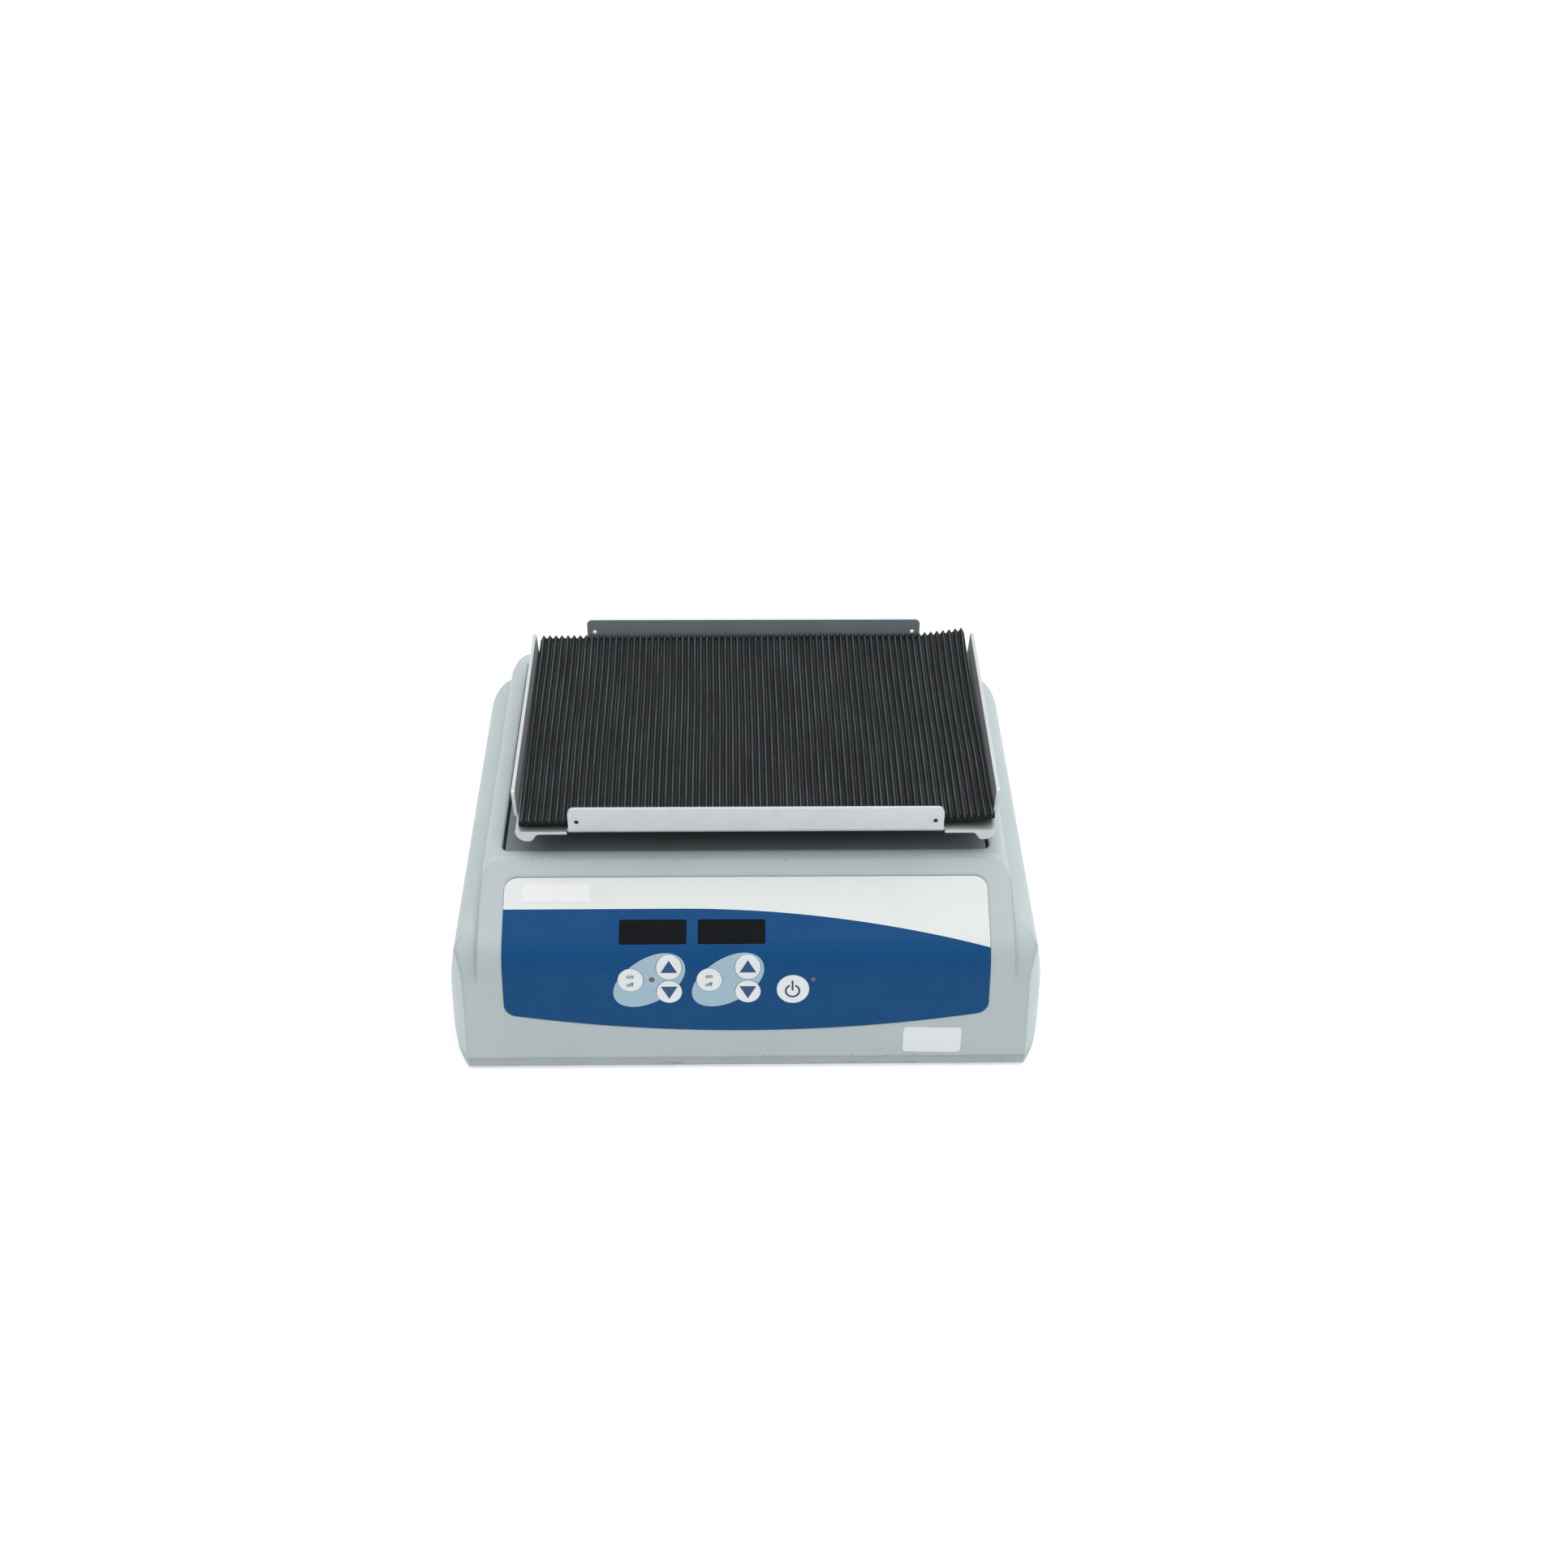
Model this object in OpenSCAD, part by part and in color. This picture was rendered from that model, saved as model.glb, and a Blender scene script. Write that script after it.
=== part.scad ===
// Orbital shaker with a flat tray, a ribbed mat and a sloping membrane panel.
// Millimetres, +Z up, front towards -Y. The origin is on the bench, under the middle of the body.

/* [Housing] */
// Width across the foot of the sides
body_w = 356; // [348:1:372]
// Depth from the foot of the front to the foot of the back
body_d = 280; // [276:1:300]
// Height of the raised deck above the bench
deck_z = 101.5; // [98:0.5:112]
// Width of the raised deck
deck_w = 304; // [302:1:310]
// How far the deck's front edge lies behind the foot of the front
deck_setback = 66.5; // [64:0.5:72]
// How far the side shoulders lie below the deck
cheek_drop = 20; // [16:0.5:24]
// Lean of the sides, in degrees
side_lean = 9.8; // [7:0.1:11]
// Lean of the steep lower front, in degrees
front_lean = 11; // [9:0.5:13]
// Slope of the upper front, in degrees
front_slope = 28; // [26:0.5:30]
// Radius of the bend between the two parts of the front
front_turn_r = 24; // [18:1:28]
// Radius of the front end of each side shoulder
cheek_front_r = 34; // [28:1:38]
// Radius along the outer edge of each side shoulder
shoulder_r = 13; // [9:0.5:15]
// Radius along the sides of the raised deck
deck_edge_r = 10; // [6:0.5:11]
// Radius along the top of the back
rear_edge_r = 5; // [3:0.5:7]
// Radius of the rear corners, seen from above
rear_corner_r = 22; // [16:1:26]
// Width of the front face between its two side corners
face_w = 321.4; // [314:0.2:330]
// Length of the long, gentle curve of each side towards the front
side_curve = 72; // [60:1:90]
// How far that long curve brings the side in
side_in = 8.2; // [6:0.1:10]
// Length of the tighter curve at each front corner, which brings in the rest
nose_curve = 21.4; // [18:0.1:26]
// Wall of the moulded cover
wall = 3.2; // [2.8:0.1:3.6]
// Height of the base pan that shows below the cover
plinth_h = 5.4; // [4.6:0.2:7]

/* [Carriage] */
// Width of the opening in the deck
opening_w = 282; // [280:1:284]
// Depth of the opening in the deck
opening_d = 193.2; // [191:0.2:195]
// Corner radius of the opening
opening_r = 4; // [3:0.5:7]
// Distance from the deck's front edge to the opening
opening_setback = 8.4; // [8:0.1:9.6]
// Gap all round between the opening and the carriage at mid travel
carriage_gap = 1.8; // [1.8:0.1:2.4]
// Thickness of the carriage plate
carriage_t = 5; // [4:0.5:6]
// How far the carriage lies below the deck
carriage_sink = 1; // [0.5:0.1:1.5]
// Radius of the orbit
orbit_r = 1.5; // [1:0.1:1.5]

/* [Tray] */
// Width of the tray over its side flanges
tray_w = 279; // [270:1:290]
// Depth of the tray over its front and back flanges
tray_d = 197; // [190:1:205]
// Thickness of the tray's sheet
tray_t = 2; // [1.5:0.1:2.5]
// Gap between the carriage and the underside of the tray
tray_lift = 15.9; // [13:0.1:20]
// How far the tray has slid to the right in its fixing slots
tray_shift = 5.8; // [0:0.1:6.5]
// Height of the front and back flanges over the underside of the tray
end_flange_h = 18.1; // [15:0.1:22]
// Width of the front and back flanges
end_flange_w = 214.4; // [200:0.2:230]
// Height of the side flanges over the underside of the tray
side_flange_h = 18.1; // [15:0.1:22]
// Length of the side flanges
side_flange_l = 165.5; // [150:0.1:172]
// Outward lean of the side flanges, in degrees
side_flange_lean = 3; // [0:0.5:5]
// Distance between the two accessory holes in a flange
flange_hole_gap = 204.7; // [190:0.1:206]
// Diameter of the accessory holes
flange_hole_d = 2.4; // [2:0.1:3]
// Width of the turned-down tabs at the corners of the tray
tab_w = 15.6; // [14.5:0.1:18]
// How far the tabs reach below the underside of the tray
tab_drop = 4.9; // [4:0.1:6.5]
// How far the tray's corners lie inside its side flanges
corner_in = 1.9; // [1:0.1:2.5]
// Distance between the tray posts, side to side
post_gap_x = 160; // [140:1:180]
// Distance between the tray posts, front to back
post_gap_y = 100; // [90:1:120]
// Diameter of the tray posts
post_d = 14; // [12:0.5:18]

/* [Mat] */
// Width of the mat
mat_w = 273; // [250:1:273]
// Depth of the mat
mat_d = 191; // [170:1:191]
// Gap between the mat and the tray's flanges
mat_gap = 1; // [0.5:0.1:2]
// Thickness of the mat below its ribs
mat_base = 3.4; // [3:0.1:4]
// Height of the ribs
rib_h = 2.6; // [1.5:0.1:3]
// Distance from rib to rib
rib_pitch = 3.9; // [3.5:0.1:5]

/* [Panel] */
// Width of the panel film
film_w = 276; // [270:1:284]
// Distance from the deck's front edge down to the top of the film
film_top = 10.8; // [9:0.1:13]
// Distance from the deck's front edge down to the lowest point of the film
film_low = 106.8; // [104:0.1:110]
// Radius of the bowed lower edge of the film
film_bow_r = 833; // [700:1:1200]
// Corner radius of the film
film_corner_r = 7.5; // [5:0.5:10]
// Thickness of the film
film_t = 0.5; // [0.4:0.1:0.6]
// Distance from the deck's front edge down to the coloured field
field_top = 30; // [27:0.5:33]
// Radius of the curve along the top of the coloured field
field_r = 647; // [550:1:800]
// Width of a display window
window_w = 37.9; // [34:0.1:40]
// Height of a display window
window_h = 14.5; // [12:0.1:15]
// Distance from the deck's front edge down to the middle of the windows
window_s = 44; // [43:0.5:45]
// Distance of the second window and key group from the first
group_gap = 44.6; // [43:0.1:47]
// Sideways place of the first on-off key
group_x = -65.8; // [-70:0.1:-62]
// Distance from the deck's front edge down to the on-off keys
key_s = 72.7; // [72:0.1:75]
// Distance of the up and down keys to the right of their on-off key
arrow_dx = 21.8; // [20:0.1:24]
// Distance of the up and down keys above and below their on-off key
arrow_ds = 7.9; // [7.8:0.1:8.4]
// Diameter of the keys
key_d = 14.4; // [12:0.1:14.8]
// Sideways place of the power key
power_x = 26.2; // [24:0.1:30]
// Distance from the deck's front edge down to the power key
power_s = 79.2; // [77:0.1:82]
// Diameter of the power key
power_d = 18.4; // [16:0.1:19]
// Travel of the keys
key_travel = 0.4; // [0.2:0.05:0.4]
// Clearance round a key
key_clear = 0.3; // [0.25:0.05:0.35]

/* [Drive] */
// Diameter of the drive shaft
shaft_d = 15; // [14:0.5:16]
// Diameter of the drive shaft's eccentric pin
pin_d = 12; // [10:0.5:12]
// Diameter of the idler cranks' journals and pins
idler_d = 10; // [8:0.5:11]
// Radial clearance of a shaft in its bearings
run_clear = 0.02; // [0.01:0.01:0.05]
// Distance of the front idlers to each side of the shaft
idler_x = 96; // [90:1:100]
// Distance of the front idlers in front of the shaft
idler_front = 51.5; // [46:0.5:54]
// Distance of the rear idler behind the shaft
idler_rear = 56; // [56:0.5:58]
// Distance of the motor to the left of the shaft
motor_dx = 98; // [94:1:101]
// Distance of the motor behind the shaft
motor_dy = 30; // [26:1:34]
// Diameter of the motor
motor_d = 60; // [50:1:62]
// Height of the motor above the chassis plate
motor_h = 36; // [28:0.5:37]
// Diameter of the driven pulley under the belt
pulley_d = 90; // [80:1:92]
// Diameter of the motor pulley under the belt
pinion_d = 30; // [26:1:32]
// Width of the belt
belt_w = 10; // [8:0.5:11]

/* [Base] */
// Height of the pan's underside above the bench
base_z = 2; // [1.5:0.1:3]
// Thickness of the pan's floor
pan_t = 3; // [2.5:0.1:3.5]
// Diameter of the rubber feet
foot_d = 26; // [22:1:28]
// Height of the rubber feet
foot_h = 7; // [6:0.2:8]
// Distance between the feet, side to side
foot_gap_x = 284; // [282:1:288]
// Distance between the feet, front to back
foot_gap_y = 212; // [208:1:218]
// Thickness of the chassis plate
chassis_t = 5; // [4:0.5:6]
// Width of the chassis plate
chassis_w = 252; // [248:1:256]
// Depth of the chassis plate
chassis_d = 164; // [162:1:166]

/* [Rear] */
// Sideways place of the power inlet
inlet_x = 92; // [84:1:100]
// Height of the power inlet above the bench
inlet_z = 31; // [29:0.5:32]
// Depth of the recess round the power inlet
recess_d = 6; // [5:0.5:7]

/* [Hidden] */
$fn = 48;
eps = 0.01;
far = 400;
arc_steps = 14;

// Colours, as the photo shows them
housing_grey = [0.69, 0.73, 0.74];
plinth_grey = [0.62, 0.65, 0.66];
field_blue = [0.12, 0.31, 0.53];
film_white = [0.9, 0.91, 0.91];
bright_metal = [0.8, 0.81, 0.82];
mat_black = [0.14, 0.14, 0.15];

// Levels of the pieces, from the deck down to the pan
cheek_z = deck_z - cheek_drop;
plinth_z = base_z + plinth_h;
pan_top = base_z + pan_t;
carriage_top = deck_z - carriage_sink;
carriage_bot = carriage_top - carriage_t;
hub_h = 11;
hub_bot = carriage_bot - hub_h;
web_gap = 2;
web_top = hub_bot - web_gap;
web_t = 7;
web_bot = web_top - web_t;
block_top = web_bot - 0.5;
block_h = 24;
chassis_top = block_top - block_h;
chassis_bot = chassis_top - chassis_t;
pulley_drop = 8;
pulley_rim = 1.5;
pulley_h = belt_w + 4;
pulley_top = chassis_bot - pulley_drop;
pulley_bot = pulley_top - pulley_h;

// Places seen from above
rear_y = body_d / 2;
shaft_y = -body_d / 2 + deck_setback + opening_setback + opening_d / 2;
carriage_y = shaft_y - orbit_r;
motor_x = -motor_dx;
motor_y = shaft_y + motor_dy;
idler_places = [[-idler_x, shaft_y - idler_front], [idler_x, shaft_y - idler_front],
  [0, shaft_y + idler_rear]];
foot_y = 2;
foot_places = [for (x = [-1, 1], y = [-1, 1]) [x * foot_gap_x / 2, foot_y + y * foot_gap_y / 2]];
boss_x = 148;
boss_ys = [-70, 8, 86];
boss_places = [for (x = [-1, 1], y = boss_ys) [x * boss_x, y]];
pillar_inset = 7;
pillar_places = [for (x = [-1, 1], y = [-1, 1])
  [x * (chassis_w / 2 - pillar_inset), shaft_y + y * (chassis_d / 2 - pillar_inset)]];

// The front face. A place on it is s, the distance down the face from the deck's front edge.
face_turn = 90 - front_lean - front_slope;
crease_y = -body_d / 2 + deck_setback;
bend_z = (deck_z - (deck_setback + base_z * tan(front_lean)) * tan(front_slope))
  / (1 - tan(front_lean) * tan(front_slope));
bend_y = front_y(bend_z);
bend_cut = front_turn_r * tan(face_turn / 2);
bend_start = (bend_y - crease_y) / -cos(front_slope) - bend_cut;
bend_end = bend_start + front_turn_r * face_turn * PI / 180;
bend_centre = [bend_y + bend_cut * cos(front_slope) + front_turn_r * sin(front_slope),
  bend_z + bend_cut * sin(front_slope) - front_turn_r * cos(front_slope)];

function front_y(z) = -body_d / 2 + (z - base_z) * tan(front_lean);
function side_x(z) = body_w / 2 - (z - base_z) * tan(side_lean);
function face_slope(s) = s < bend_start ? front_slope
  : s > bend_end ? 90 - front_lean
  : front_slope + (s - bend_start) / front_turn_r * 180 / PI;
function face_spot(s) = s < bend_start
  ? [crease_y - s * cos(front_slope), deck_z - s * sin(front_slope)]
  : bend_centre + front_turn_r * [-sin(face_slope(s)), cos(face_slope(s))]
    - max(s - bend_end, 0) * [sin(front_lean), cos(front_lean)];
function arc(c, r, from, to) = [for (i = [0:arc_steps])
  let (a = from + (to - from) * i / arc_steps) [c.x + r * cos(a), c.y + r * sin(a)]];
function on_face(points) = [for (p = points) [p.x, face_spot(p.y).y]];

// Side outlines of the deck part and of the lower part with the shoulders
deck_side = concat([[front_y(-20), -20]],
  arc(bend_centre, front_turn_r, 180 - front_lean, 90 + front_slope),
  [[crease_y, deck_z]], rear_corner(deck_z), [[rear_y, -20]]);
cheek_turn = 90 - front_lean;
cheek_centre = [front_y(cheek_z) + cheek_front_r * tan(cheek_turn / 2), cheek_z - cheek_front_r];
cheek_side = concat([[front_y(-20), -20]], arc(cheek_centre, cheek_front_r, 180 - front_lean, 90),
  rear_corner(cheek_z), [[rear_y, -20]]);
function rear_corner(z) = arc([rear_y - rear_edge_r, z - rear_edge_r], rear_edge_r, 90, 0);

// Front outlines of the same two parts
deck_lean = 1;
deck_front = let (
    reach = deck_edge_r * tan(45 - deck_lean / 2),
    right = concat([[deck_w / 2 + (deck_z + 20) * tan(deck_lean), -20]],
      arc([deck_w / 2 - reach, deck_z - deck_edge_r], deck_edge_r, deck_lean, 90)))
  concat(right, mirrored(right));
cheek_front = let (
    reach = shoulder_r * tan(45 - side_lean / 2),
    right = concat([[side_x(-20), -20]],
      arc([side_x(cheek_z) - reach, cheek_z - shoulder_r], shoulder_r, side_lean, 90)))
  concat(right, mirrored(right));
function mirrored(points) = [for (i = [len(points) - 1:-1:0]) [-points[i].x, points[i].y]];

// Plan outline, which curves in towards the front face
nose_in = (body_w - face_w) / 2 - side_in;
side_turn = 2 * atan(side_in / side_curve);
side_r = side_curve / sin(side_turn);
nose_turn = 2 * atan(nose_in / nose_curve) - side_turn;
nose_r = norm([nose_in, nose_curve]) / (2 * sin((nose_turn - side_turn) / 2));
plan = let (
    nose = arc([body_w / 2 - side_in - nose_r * cos(side_turn), nose_curve + nose_r * sin(side_turn)],
      nose_r, -nose_turn, -side_turn),
    long = arc([body_w / 2 - side_r, nose_curve + side_curve], side_r, -side_turn, 0),
    right = concat([[face_w / 2, -20]], nose, [for (i = [1:arc_steps]) long[i]], [[body_w / 2, far]]))
  concat(right, mirrored(right));

// Solids along each axis, from outlines drawn in the other two
module along_x(w) { translate([-w / 2, 0, 0]) rotate([90, 0, 90]) linear_extrude(w) children(); }
module along_y(from, to) {
  translate([0, to, 0]) rotate([90, 0, 0]) linear_extrude(to - from) children();
}
module slab(from, to) { translate([0, 0, from]) linear_extrude(to - from) children(); }
module box(low, high) { translate(low) cube(high - low); }
module rounded(w, d, r) {
  square([w - 2 * r, d], center = true);
  square([w, d - 2 * r], center = true);
  for (x = [-1, 1], y = [-1, 1]) translate([x * (w / 2 - r), y * (d / 2 - r)]) circle(r);
}
module at_each(places) { for (p = places) translate([p.x, p.y, 0]) children(); }
module on_front(x, s) {
  translate([x, face_spot(s).x, face_spot(s).y]) rotate([face_slope(s), 0, 0]) children();
}
module rod(from, to, d) { translate([0, 0, from]) cylinder(h = to - from, d = d); }

// The whole body, inset by a wall, between two levels
module body_solid(inset, from, to) {
  intersection() {
    union() {
      intersection() {
        along_x(far) offset(delta = -inset) polygon(cheek_side);
        along_y(-far / 2, far / 2) offset(delta = -inset) polygon(cheek_front);
        rear_corners(body_w / 2, side_lean, inset);
      }
      intersection() {
        along_x(far) offset(delta = -inset) polygon(deck_side);
        along_y(-far / 2, far / 2) offset(delta = -inset) polygon(deck_front);
        rear_corners(deck_w / 2 + (deck_z - base_z) * tan(deck_lean), deck_lean, inset);
      }
    }
    translate([0, -body_d / 2, base_z]) rotate([-front_lean, 0, 0])
      slab(-60, 200) offset(delta = -inset) polygon(plan);
    box([-far, -far, from], [far, far, to]);
  }
}

// All that lies within the two rounded rear corners, for sides that lean
module rear_corners(foot_x, lean, inset) {
  outline = concat([[-far, -far], [0, -far]],
    arc([-rear_corner_r, -rear_corner_r], rear_corner_r, 0, 90), [[-far, 0]]);
  intersection() {
    translate([foot_x, rear_y, base_z]) rotate([0, -lean, 0])
      slab(-60, 200) offset(delta = -inset) polygon(outline);
    translate([-foot_x, rear_y, base_z]) rotate([0, lean, 0])
      slab(-60, 200) offset(delta = -inset) mirror([1, 0]) polygon(outline);
  }
}

// A skin that follows the front face between two depths, negative inwards
module face_skin(from, to) {
  along_x(face_w) intersection() {
    difference() {
      offset(delta = to) polygon(deck_side);
      offset(delta = from) polygon(deck_side);
    }
    translate([-far, plinth_z]) square([far + crease_y + eps, far]);
  }
}

// The film's outline, as points across the face and down it
film_sink = 0.1;
film_depth = film_t + film_sink;
film_lift = 0.25;
film_points = let (
    x = film_w / 2 - film_corner_r,
    bow = film_low - film_bow_r,
    low = bow + sqrt(pow(film_bow_r - film_corner_r, 2) - x * x),
    turn = atan2(low - bow, x),
    right = concat(arc([x, film_top + film_corner_r], film_corner_r, -90, 0),
      arc([x, low], film_corner_r, 0, turn),
      arc([0, bow], film_bow_r, turn, 90)))
  concat(right, mirrored(right));
field_start = -39;
field_points = concat([[-film_w, film_low + 9], [-film_w, field_top]],
  [for (x = [field_start:5:film_w / 2 + 10])
    [x, field_top + pow(x - field_start, 2) / (2 * field_r)]],
  [[film_w, film_low + 9]]);

module front_cut(points, grow) {
  along_y(-far, crease_y) offset(delta = grow) polygon(on_face(points));
}

// Places of the windows, keys and lights: across the face, down it, and diameter
window_xs = [group_x + 12.7, group_x + 12.7 + group_gap];
window_sink = 2.2;
window_ledge = 1.5;
window_fit = 0.15;
keys = [for (g = [0, 1]) each [[group_x + g * group_gap, key_s, key_d],
  [group_x + g * group_gap + arrow_dx, key_s - arrow_ds, key_d],
  [group_x + g * group_gap + arrow_dx, key_s + arrow_ds, key_d]]];
power_key = [power_x, power_s, power_d];
all_keys = concat(keys, [power_key]);
light_d = 3;
lights = [[group_x + 12, key_s - 0.2], [power_x + 11.5, power_s - 6.3]];

// Depths behind the face: a key stands proud by key_lift and its pocket clears its travel
key_lift = 0.2;
key_back = 1.4;
press_gap = 0.3;
pocket_back = key_back + key_travel + press_gap;
plunger_d = 4.8;
board_depth = wall + 6;
board_t = 1.6;
switch_top = 5.3;
function key_tilt(s) = 90 - front_lean - face_slope(s);
function key_reach(s) = (switch_top - press_gap - front_turn_r * (1 - cos(key_tilt(s)))
  - plunger_d / 2 * sin(key_tilt(s))) / cos(key_tilt(s)) - key_travel;

// Display board and control board, each parallel to its part of the face
display_depth = 6;
display_h = 12.5;
display_back = wall + display_depth;
display_screw_xs = [group_x - 15, group_x + group_gap + 39];
board_mid_s = 82.5;
board_w = 142;
board_h = 40;
board_x = -18;
board_screws_at = [for (x = [-1, 1], y = [-1, 1])
  [board_x + x * (board_w / 2 - 5), y * (board_h / 2 - 4.5)]];

module on_board() { on_front(0, board_mid_s) children(); }

// Screw sizes
m3 = 3;
m3_head = 5.6;
m4 = 4;
m4_head = 7.4;
m5 = 5;
m5_head = 10;
boss_d = 10;
post_small_d = 7;
small_thread = m3 - 0.4;
thread = m4 - 0.6;
screw_clear = 0.2;

module screw(d, head, head_h, l) {
  cylinder(h = l, d = d);
  translate([0, 0, -head_h]) difference() {
    cylinder(h = head_h, d = head);
    translate([0, 0, -eps]) cylinder(h = head_h / 2, d = head / 2, $fn = 6);
  }
}

// Cover: one moulding, open below and in the deck
rim_t = 2.5;
rim_h = 10;
inlet_w = 50;
inlet_h = 30;
inlet_fit = 0.25;
inlet_face_y = rear_y - recess_d;
inlet_body_w = 28;
inlet_body_h = 26;
inlet_body_l = 24;
inlet_screw_gap = 40;
vent_w = 2.4;
vent_h = 22;
vent_count = 12;
vent_pitch = 6;
vent_x = -112;
vent_z = 34;

module top_cover() {
  color(housing_grey) difference() {
    union() {
      difference() {
        body_solid(0, plinth_z, far);
        body_solid(wall, -far, far);
      }
      intersection() {
        body_solid(wall - eps, plinth_z, far);
        cover_inside();
      }
    }
    cover_cuts();
  }
}

module cover_inside() {
  slab(deck_z - rim_h, deck_z)
    translate([0, shaft_y]) rounded(opening_w + 2 * rim_t, opening_d + 2 * rim_t, opening_r + rim_t);
  at_each(boss_places) rod(pan_top + 0.1 + plinth_h, cheek_z, boss_d);
  on_board() for (p = board_screws_at) translate([p.x, p.y, 0]) rod(-board_depth, 0, post_small_d);
  on_front(0, window_s) for (x = display_screw_xs)
    translate([x, 0, 0]) rod(-display_back, 0, post_small_d);
  inlet_recess(inlet_w, inlet_h, wall + inlet_fit, inlet_face_y - wall);
}

module cover_cuts() {
  slab(deck_z - 2 * rim_h, far) translate([0, shaft_y]) rounded(opening_w, opening_d, opening_r);
  at_each(boss_places) rod(0, plinth_z + 22, thread);
  on_board() for (p = board_screws_at) translate([p.x, p.y, 0])
    rod(-board_depth - 1, -wall / 2, small_thread);
  on_front(0, window_s) for (x = display_screw_xs) translate([x, 0, 0])
    rod(-display_back - 1, -wall / 2, small_thread);
  intersection() {
    face_skin(-film_depth, 2);
    front_cut(film_points, film_lift);
  }
  for (x = window_xs) on_front(x, window_s) {
    window_box(window_w + 2 * window_fit, window_h + 2 * window_fit, window_sink + window_fit, 5);
    window_box(window_w - 2 * window_ledge, window_h - 2 * window_ledge, wall + 9, 5);
  }
  for (k = all_keys) {
    intersection() {
      on_front(k.x, k.y) rod(-6, 6, k.z + 2 * key_clear);
      face_skin(-pocket_back, 3);
    }
    on_front(k.x, k.y) rod(-9, 6, plunger_d + 2 * key_clear);
  }
  for (p = lights) on_front(p.x, p.y) rod(-9, 6, light_d + 2 * window_fit);
  inlet_recess(inlet_w, inlet_h, inlet_fit, inlet_face_y);
  inlet_recess(inlet_body_w, inlet_body_h, inlet_fit, inlet_face_y - 2 * wall);
  for (x = [-1, 1]) translate([inlet_x + x * inlet_screw_gap / 2, inlet_face_y + 1, inlet_z])
    rotate([90, 0, 0]) cylinder(h = 20, d = small_thread);
  for (i = [0:vent_count - 1])
    box([vent_x + i * vent_pitch, body_d / 2 - 15, vent_z],
      [vent_x + i * vent_pitch + vent_w, far, vent_z + vent_h]);
}

module window_box(w, h, depth, up) { box([-w / 2, -h / 2, -depth], [w / 2, h / 2, up]); }
module inlet_recess(w, h, grow, from) {
  translate([inlet_x, 0, inlet_z]) along_y(from, far) square([w + 2 * grow, h + 2 * grow], center = true);
}

// Base: pan, feet and their screws
pan_inset = 0.6;
pan_wall = 2.6;
foot_cup_t = 2.4;
foot_fit = 0.3;

module base_pan() {
  color(plinth_grey) difference() {
    union() {
      difference() {
        body_solid(pan_inset, base_z, plinth_z);
        body_solid(pan_inset + pan_wall, pan_top, far);
      }
      at_each(foot_places) rod(base_z, foot_h + foot_cup_t, foot_d + 2 * (foot_fit + foot_cup_t));
      at_each(boss_places) rod(base_z, pan_top + plinth_h, boss_d);
    }
    at_each(foot_places) {
      rod(0, foot_h, foot_d + 2 * foot_fit);
      rod(0, far, thread);
    }
    at_each(boss_places) {
      rod(0, far, m4 + 2 * screw_clear);
      rod(0, base_z + 4, m4_head + 2 * screw_clear);
    }
    at_each(pillar_places) {
      rod(0, far, m4 + 2 * screw_clear);
      rod(0, base_z + 1.5, m4_head + 2 * screw_clear);
    }
    at_each(supply_posts) rod(0, far, m3 + 2 * screw_clear);
  }
}

module rubber_feet() {
  color([0.13, 0.13, 0.13]) at_each(foot_places) difference() {
    rod(0, foot_h, foot_d);
    rod(-1, far, m4 + 2 * screw_clear);
    rod(-1, foot_h - 3, m4_head + 1);
  }
}

module foot_screws() {
  color(bright_metal) at_each(foot_places) translate([0, 0, foot_h - 3])
    screw(thread, m4_head, 2.4, foot_cup_t + 3);
}

module cover_screws() {
  color(bright_metal) at_each(boss_places) translate([0, 0, base_z + 4])
    screw(thread, m4_head, 3, plinth_h + 16);
}

// Panel: film, windows, displays, boards, switches, lights and keys
module film_sheet() {
  difference() {
    intersection() {
      face_skin(-film_depth, -film_sink);
      front_cut(film_points, 0);
    }
    for (x = window_xs) on_front(x, window_s)
      window_box(window_w + 2 * window_fit, window_h + 2 * window_fit, 5, 5);
    for (k = all_keys) on_front(k.x, k.y) rod(-6, 6, k.z + 2 * key_clear);
    for (p = lights) on_front(p.x, p.y) rod(-6, 6, light_d + 2 * window_fit);
  }
}

module panel_film() {
  color(film_white) difference() {
    film_sheet();
    front_cut(field_points, 0);
  }
  color(field_blue) intersection() {
    film_sheet();
    front_cut(field_points, 0);
  }
}

module window(x) {
  color([0.1, 0.11, 0.13]) intersection() {
    on_front(x, window_s) window_box(window_w, window_h, window_sink, 5);
    face_skin(-window_sink - 1, -film_sink);
  }
}

module speed_window() { window(window_xs[0]); }
module time_window() { window(window_xs[1]); }

digits = 4;
digit_pitch = (window_w - 4) / digits;
digit_w = 6;
digit_h = 9.6;
bar = 1;
module display(x) {
  color([0.2, 0.2, 0.2]) on_front(x, window_s) difference() {
    box([-window_w / 2 + 0.5, -display_h / 2, -display_back],
      [window_w / 2 - 0.5, display_h / 2, -wall - 0.3]);
    for (i = [0:digits - 1]) translate([(i - (digits - 1) / 2) * digit_pitch, 0, -wall - 0.6])
      slab(0, 1) difference() {
        square([digit_w, digit_h], center = true);
        for (y = [-1, 1]) translate([0, y * (digit_h - bar) / 4])
          square([digit_w - 2 * bar, (digit_h - 3 * bar) / 2], center = true);
      }
  }
}

module speed_display() { display(window_xs[0]); }
module time_display() { display(window_xs[1]); }

module display_board() {
  color([0.1, 0.35, 0.2]) on_front(0, window_s) difference() {
    box([display_screw_xs[0] - 5, -8, -display_back - board_t],
      [display_screw_xs[1] + 5, 8, -display_back]);
    for (x = display_screw_xs) translate([x, 0, 0]) rod(-far, far, m3 + screw_clear);
  }
}

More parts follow.
